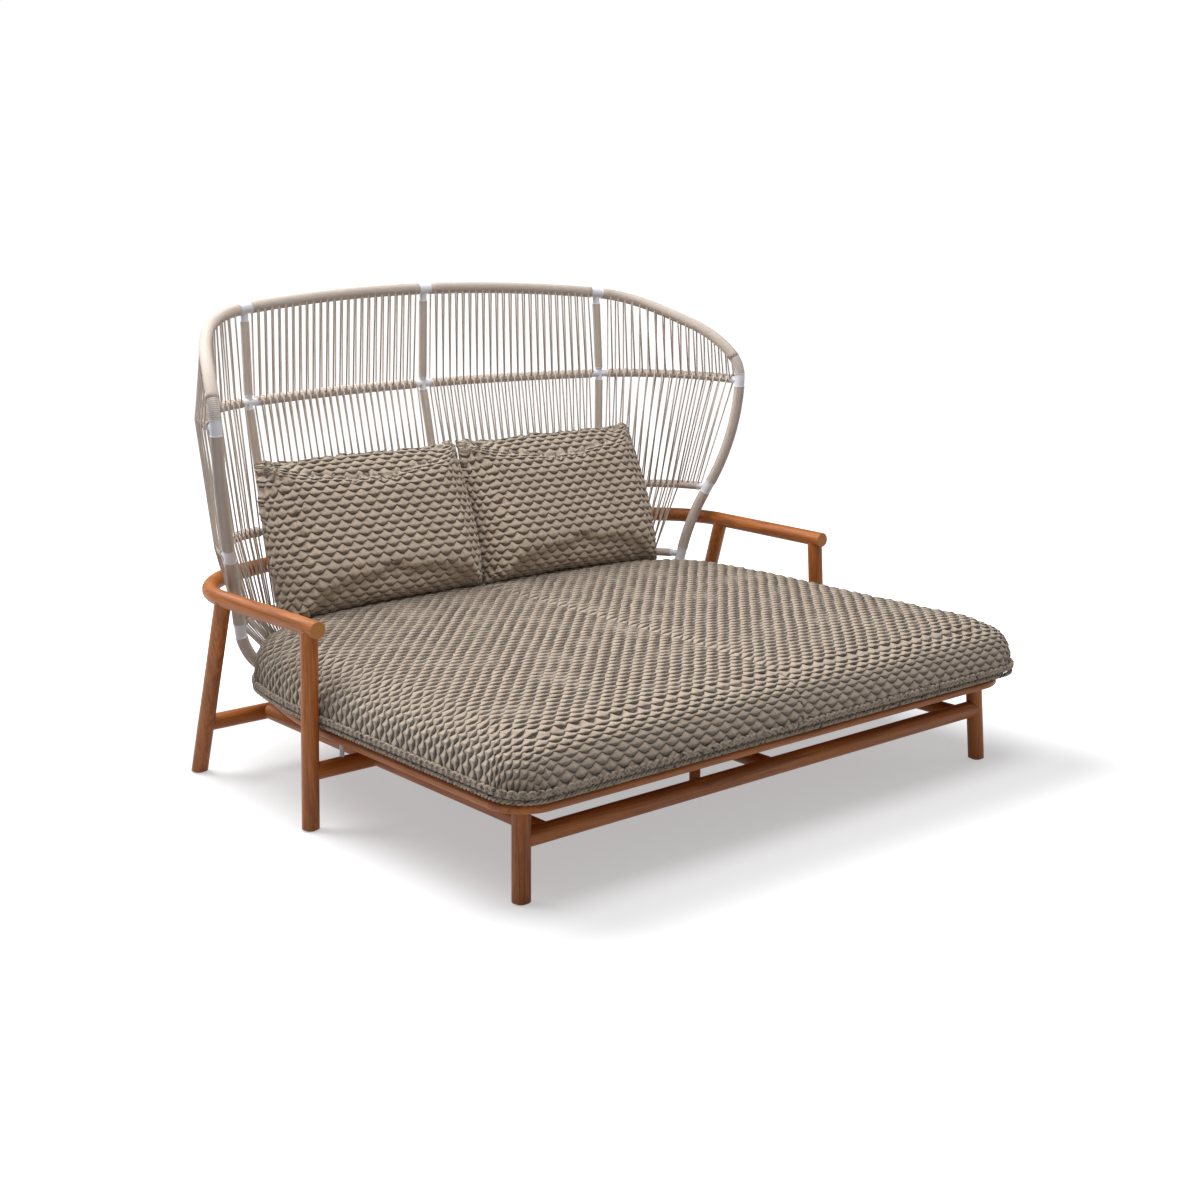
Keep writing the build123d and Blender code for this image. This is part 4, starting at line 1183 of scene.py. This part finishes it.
class DAYBED_OT_stage(bpy.types.Operator):
    """Adds the floor, the lights, the surroundings and the camera"""
    bl_idname = "daybed.stage"
    bl_label = "Stage"

    def execute(self, context):
        scene = context.scene
        mesh = bmesh.new()
        bmesh.ops.create_grid(mesh, x_segments=1, y_segments=1, size=30.0)
        data = bpy.data.meshes.new("studio_floor")
        mesh.to_mesh(data)
        mesh.free()
        floor = bpy.data.objects.new("studio_floor", data)
        scene.collection.objects.link(floor)
        finish = Finish("studio_floor", 0.9)
        rays = finish.add("LightPath")
        seen = finish.math("MAXIMUM", rays.outputs["Is Camera Ray"], rays.outputs["Is Glossy Ray"])
        finish.finish(tuple(scene.daybed_colours.floor))
        x, y, _ = finish.split(finish.coordinates())
        beside, before = (
            finish.math("MAXIMUM", finish.math("SUBTRACT", finish.math("ABSOLUTE", place), half), 0.0)
            for place, half in ((x, GLOW_HALF_WIDTH), (y, GLOW_HALF_DEPTH)))
        away = finish.math("SQRT", finish.math("ADD", finish.math("MULTIPLY", beside, beside),
                                               finish.math("MULTIPLY", before, before)))
        # Painted shadow: the camera sees the floor's glow dimmed near the daybed, rising to full white past
        # the reach
        strength = finish.smooth(away, 0.0, GLOW_REACH, GLOW_PAINTED_SHADOW, 1.0)
        glow = finish.add("Emission", Color=(1.0, 1.0, 1.0), Strength=strength)
        dark = finish.add("Emission", Color=(0.0, 0.0, 0.0), Strength=0.0)
        choose = finish.add("MixShader", n0=seen, n1=dark.outputs[0], n2=glow.outputs[0])
        total = finish.add("AddShader", n0=finish.shader.outputs[0], n1=choose.outputs[0])
        finish.tree.links.new(total.outputs[0], finish.tree.nodes["Material Output"].inputs["Surface"])
        data.materials.append(finish.material)

        world = bpy.data.worlds.new("studio")
        scene.world = world
        world.use_nodes = True
        tree = world.node_tree
        rays = tree.nodes.new("ShaderNodeLightPath")
        near = tree.nodes["Background"]
        near.inputs["Color"].default_value = (1.0, 1.0, 1.0, 1.0)
        near.inputs["Strength"].default_value = WORLD_LIGHT
        far = tree.nodes.new("ShaderNodeBackground")
        far.inputs["Color"].default_value = (1.0, 1.0, 1.0, 1.0)
        far.inputs["Strength"].default_value = 1.0
        pick = tree.nodes.new("ShaderNodeMixShader")
        tree.links.new(rays.outputs["Is Camera Ray"], pick.inputs[0])
        tree.links.new(near.outputs[0], pick.inputs[1])
        tree.links.new(far.outputs[0], pick.inputs[2])
        tree.links.new(pick.outputs[0], tree.nodes["World Output"].inputs["Surface"])

        for name, place, target, size, energy in LAMPS:
            lamp = bpy.data.lights.new(name, "AREA")
            lamp.shape = "SQUARE"
            lamp.size = size
            lamp.energy = energy
            holder = bpy.data.objects.new(name, lamp)
            scene.collection.objects.link(holder)
            holder.location = place
            holder.rotation_euler = (Vector(target) - Vector(place)).to_track_quat("-Z", "Y").to_euler()

        camera = bpy.data.cameras.new("photo_view")
        camera.sensor_width = 36.0
        camera.lens = CAMERA_LENS
        camera.clip_end = 100.0
        holder = bpy.data.objects.new("photo_view", camera)
        scene.collection.objects.link(holder)
        holder.location = CAMERA_PLACE
        holder.rotation_euler = CAMERA_TURN
        scene.camera = holder
        scene.view_settings.view_transform = "Standard"
        return {"FINISHED"}


OPERATORS = (DAYBED_OT_finishes, DAYBED_OT_rail_ends, DAYBED_OT_wound_cord, DAYBED_OT_collar_lips,
             DAYBED_OT_strung_cord, DAYBED_OT_seat_cushion, DAYBED_OT_back_cushions, DAYBED_OT_stage)


class DAYBED_PT_panel(bpy.types.Panel):
    bl_idname = "DAYBED_PT_panel"
    bl_label = "Daybed"
    bl_space_type = "VIEW_3D"
    bl_region_type = "UI"
    bl_category = "Daybed"

    def draw(self, context):
        layout = self.layout
        for group in (context.scene.daybed_sizes, context.scene.daybed_colours):
            box = layout.box()
            for key in group.__annotations__:
                box.prop(group, key)
        for operator in OPERATORS:
            layout.operator(operator.bl_idname)


CLASSES = (DaybedSizes, DaybedColours) + OPERATORS + (DAYBED_PT_panel,)


def register():
    for item in CLASSES:
        bpy.utils.register_class(item)
    bpy.types.Scene.daybed_sizes = bpy.props.PointerProperty(type=DaybedSizes)
    bpy.types.Scene.daybed_colours = bpy.props.PointerProperty(type=DaybedColours)


def unregister():
    del bpy.types.Scene.daybed_sizes
    del bpy.types.Scene.daybed_colours
    for item in reversed(CLASSES):
        bpy.utils.unregister_class(item)


def main():
    register()
    for operator in OPERATORS:
        group, name = operator.bl_idname.split(".")
        getattr(getattr(bpy.ops, group), name)()


if __name__ == "__main__":
    main()
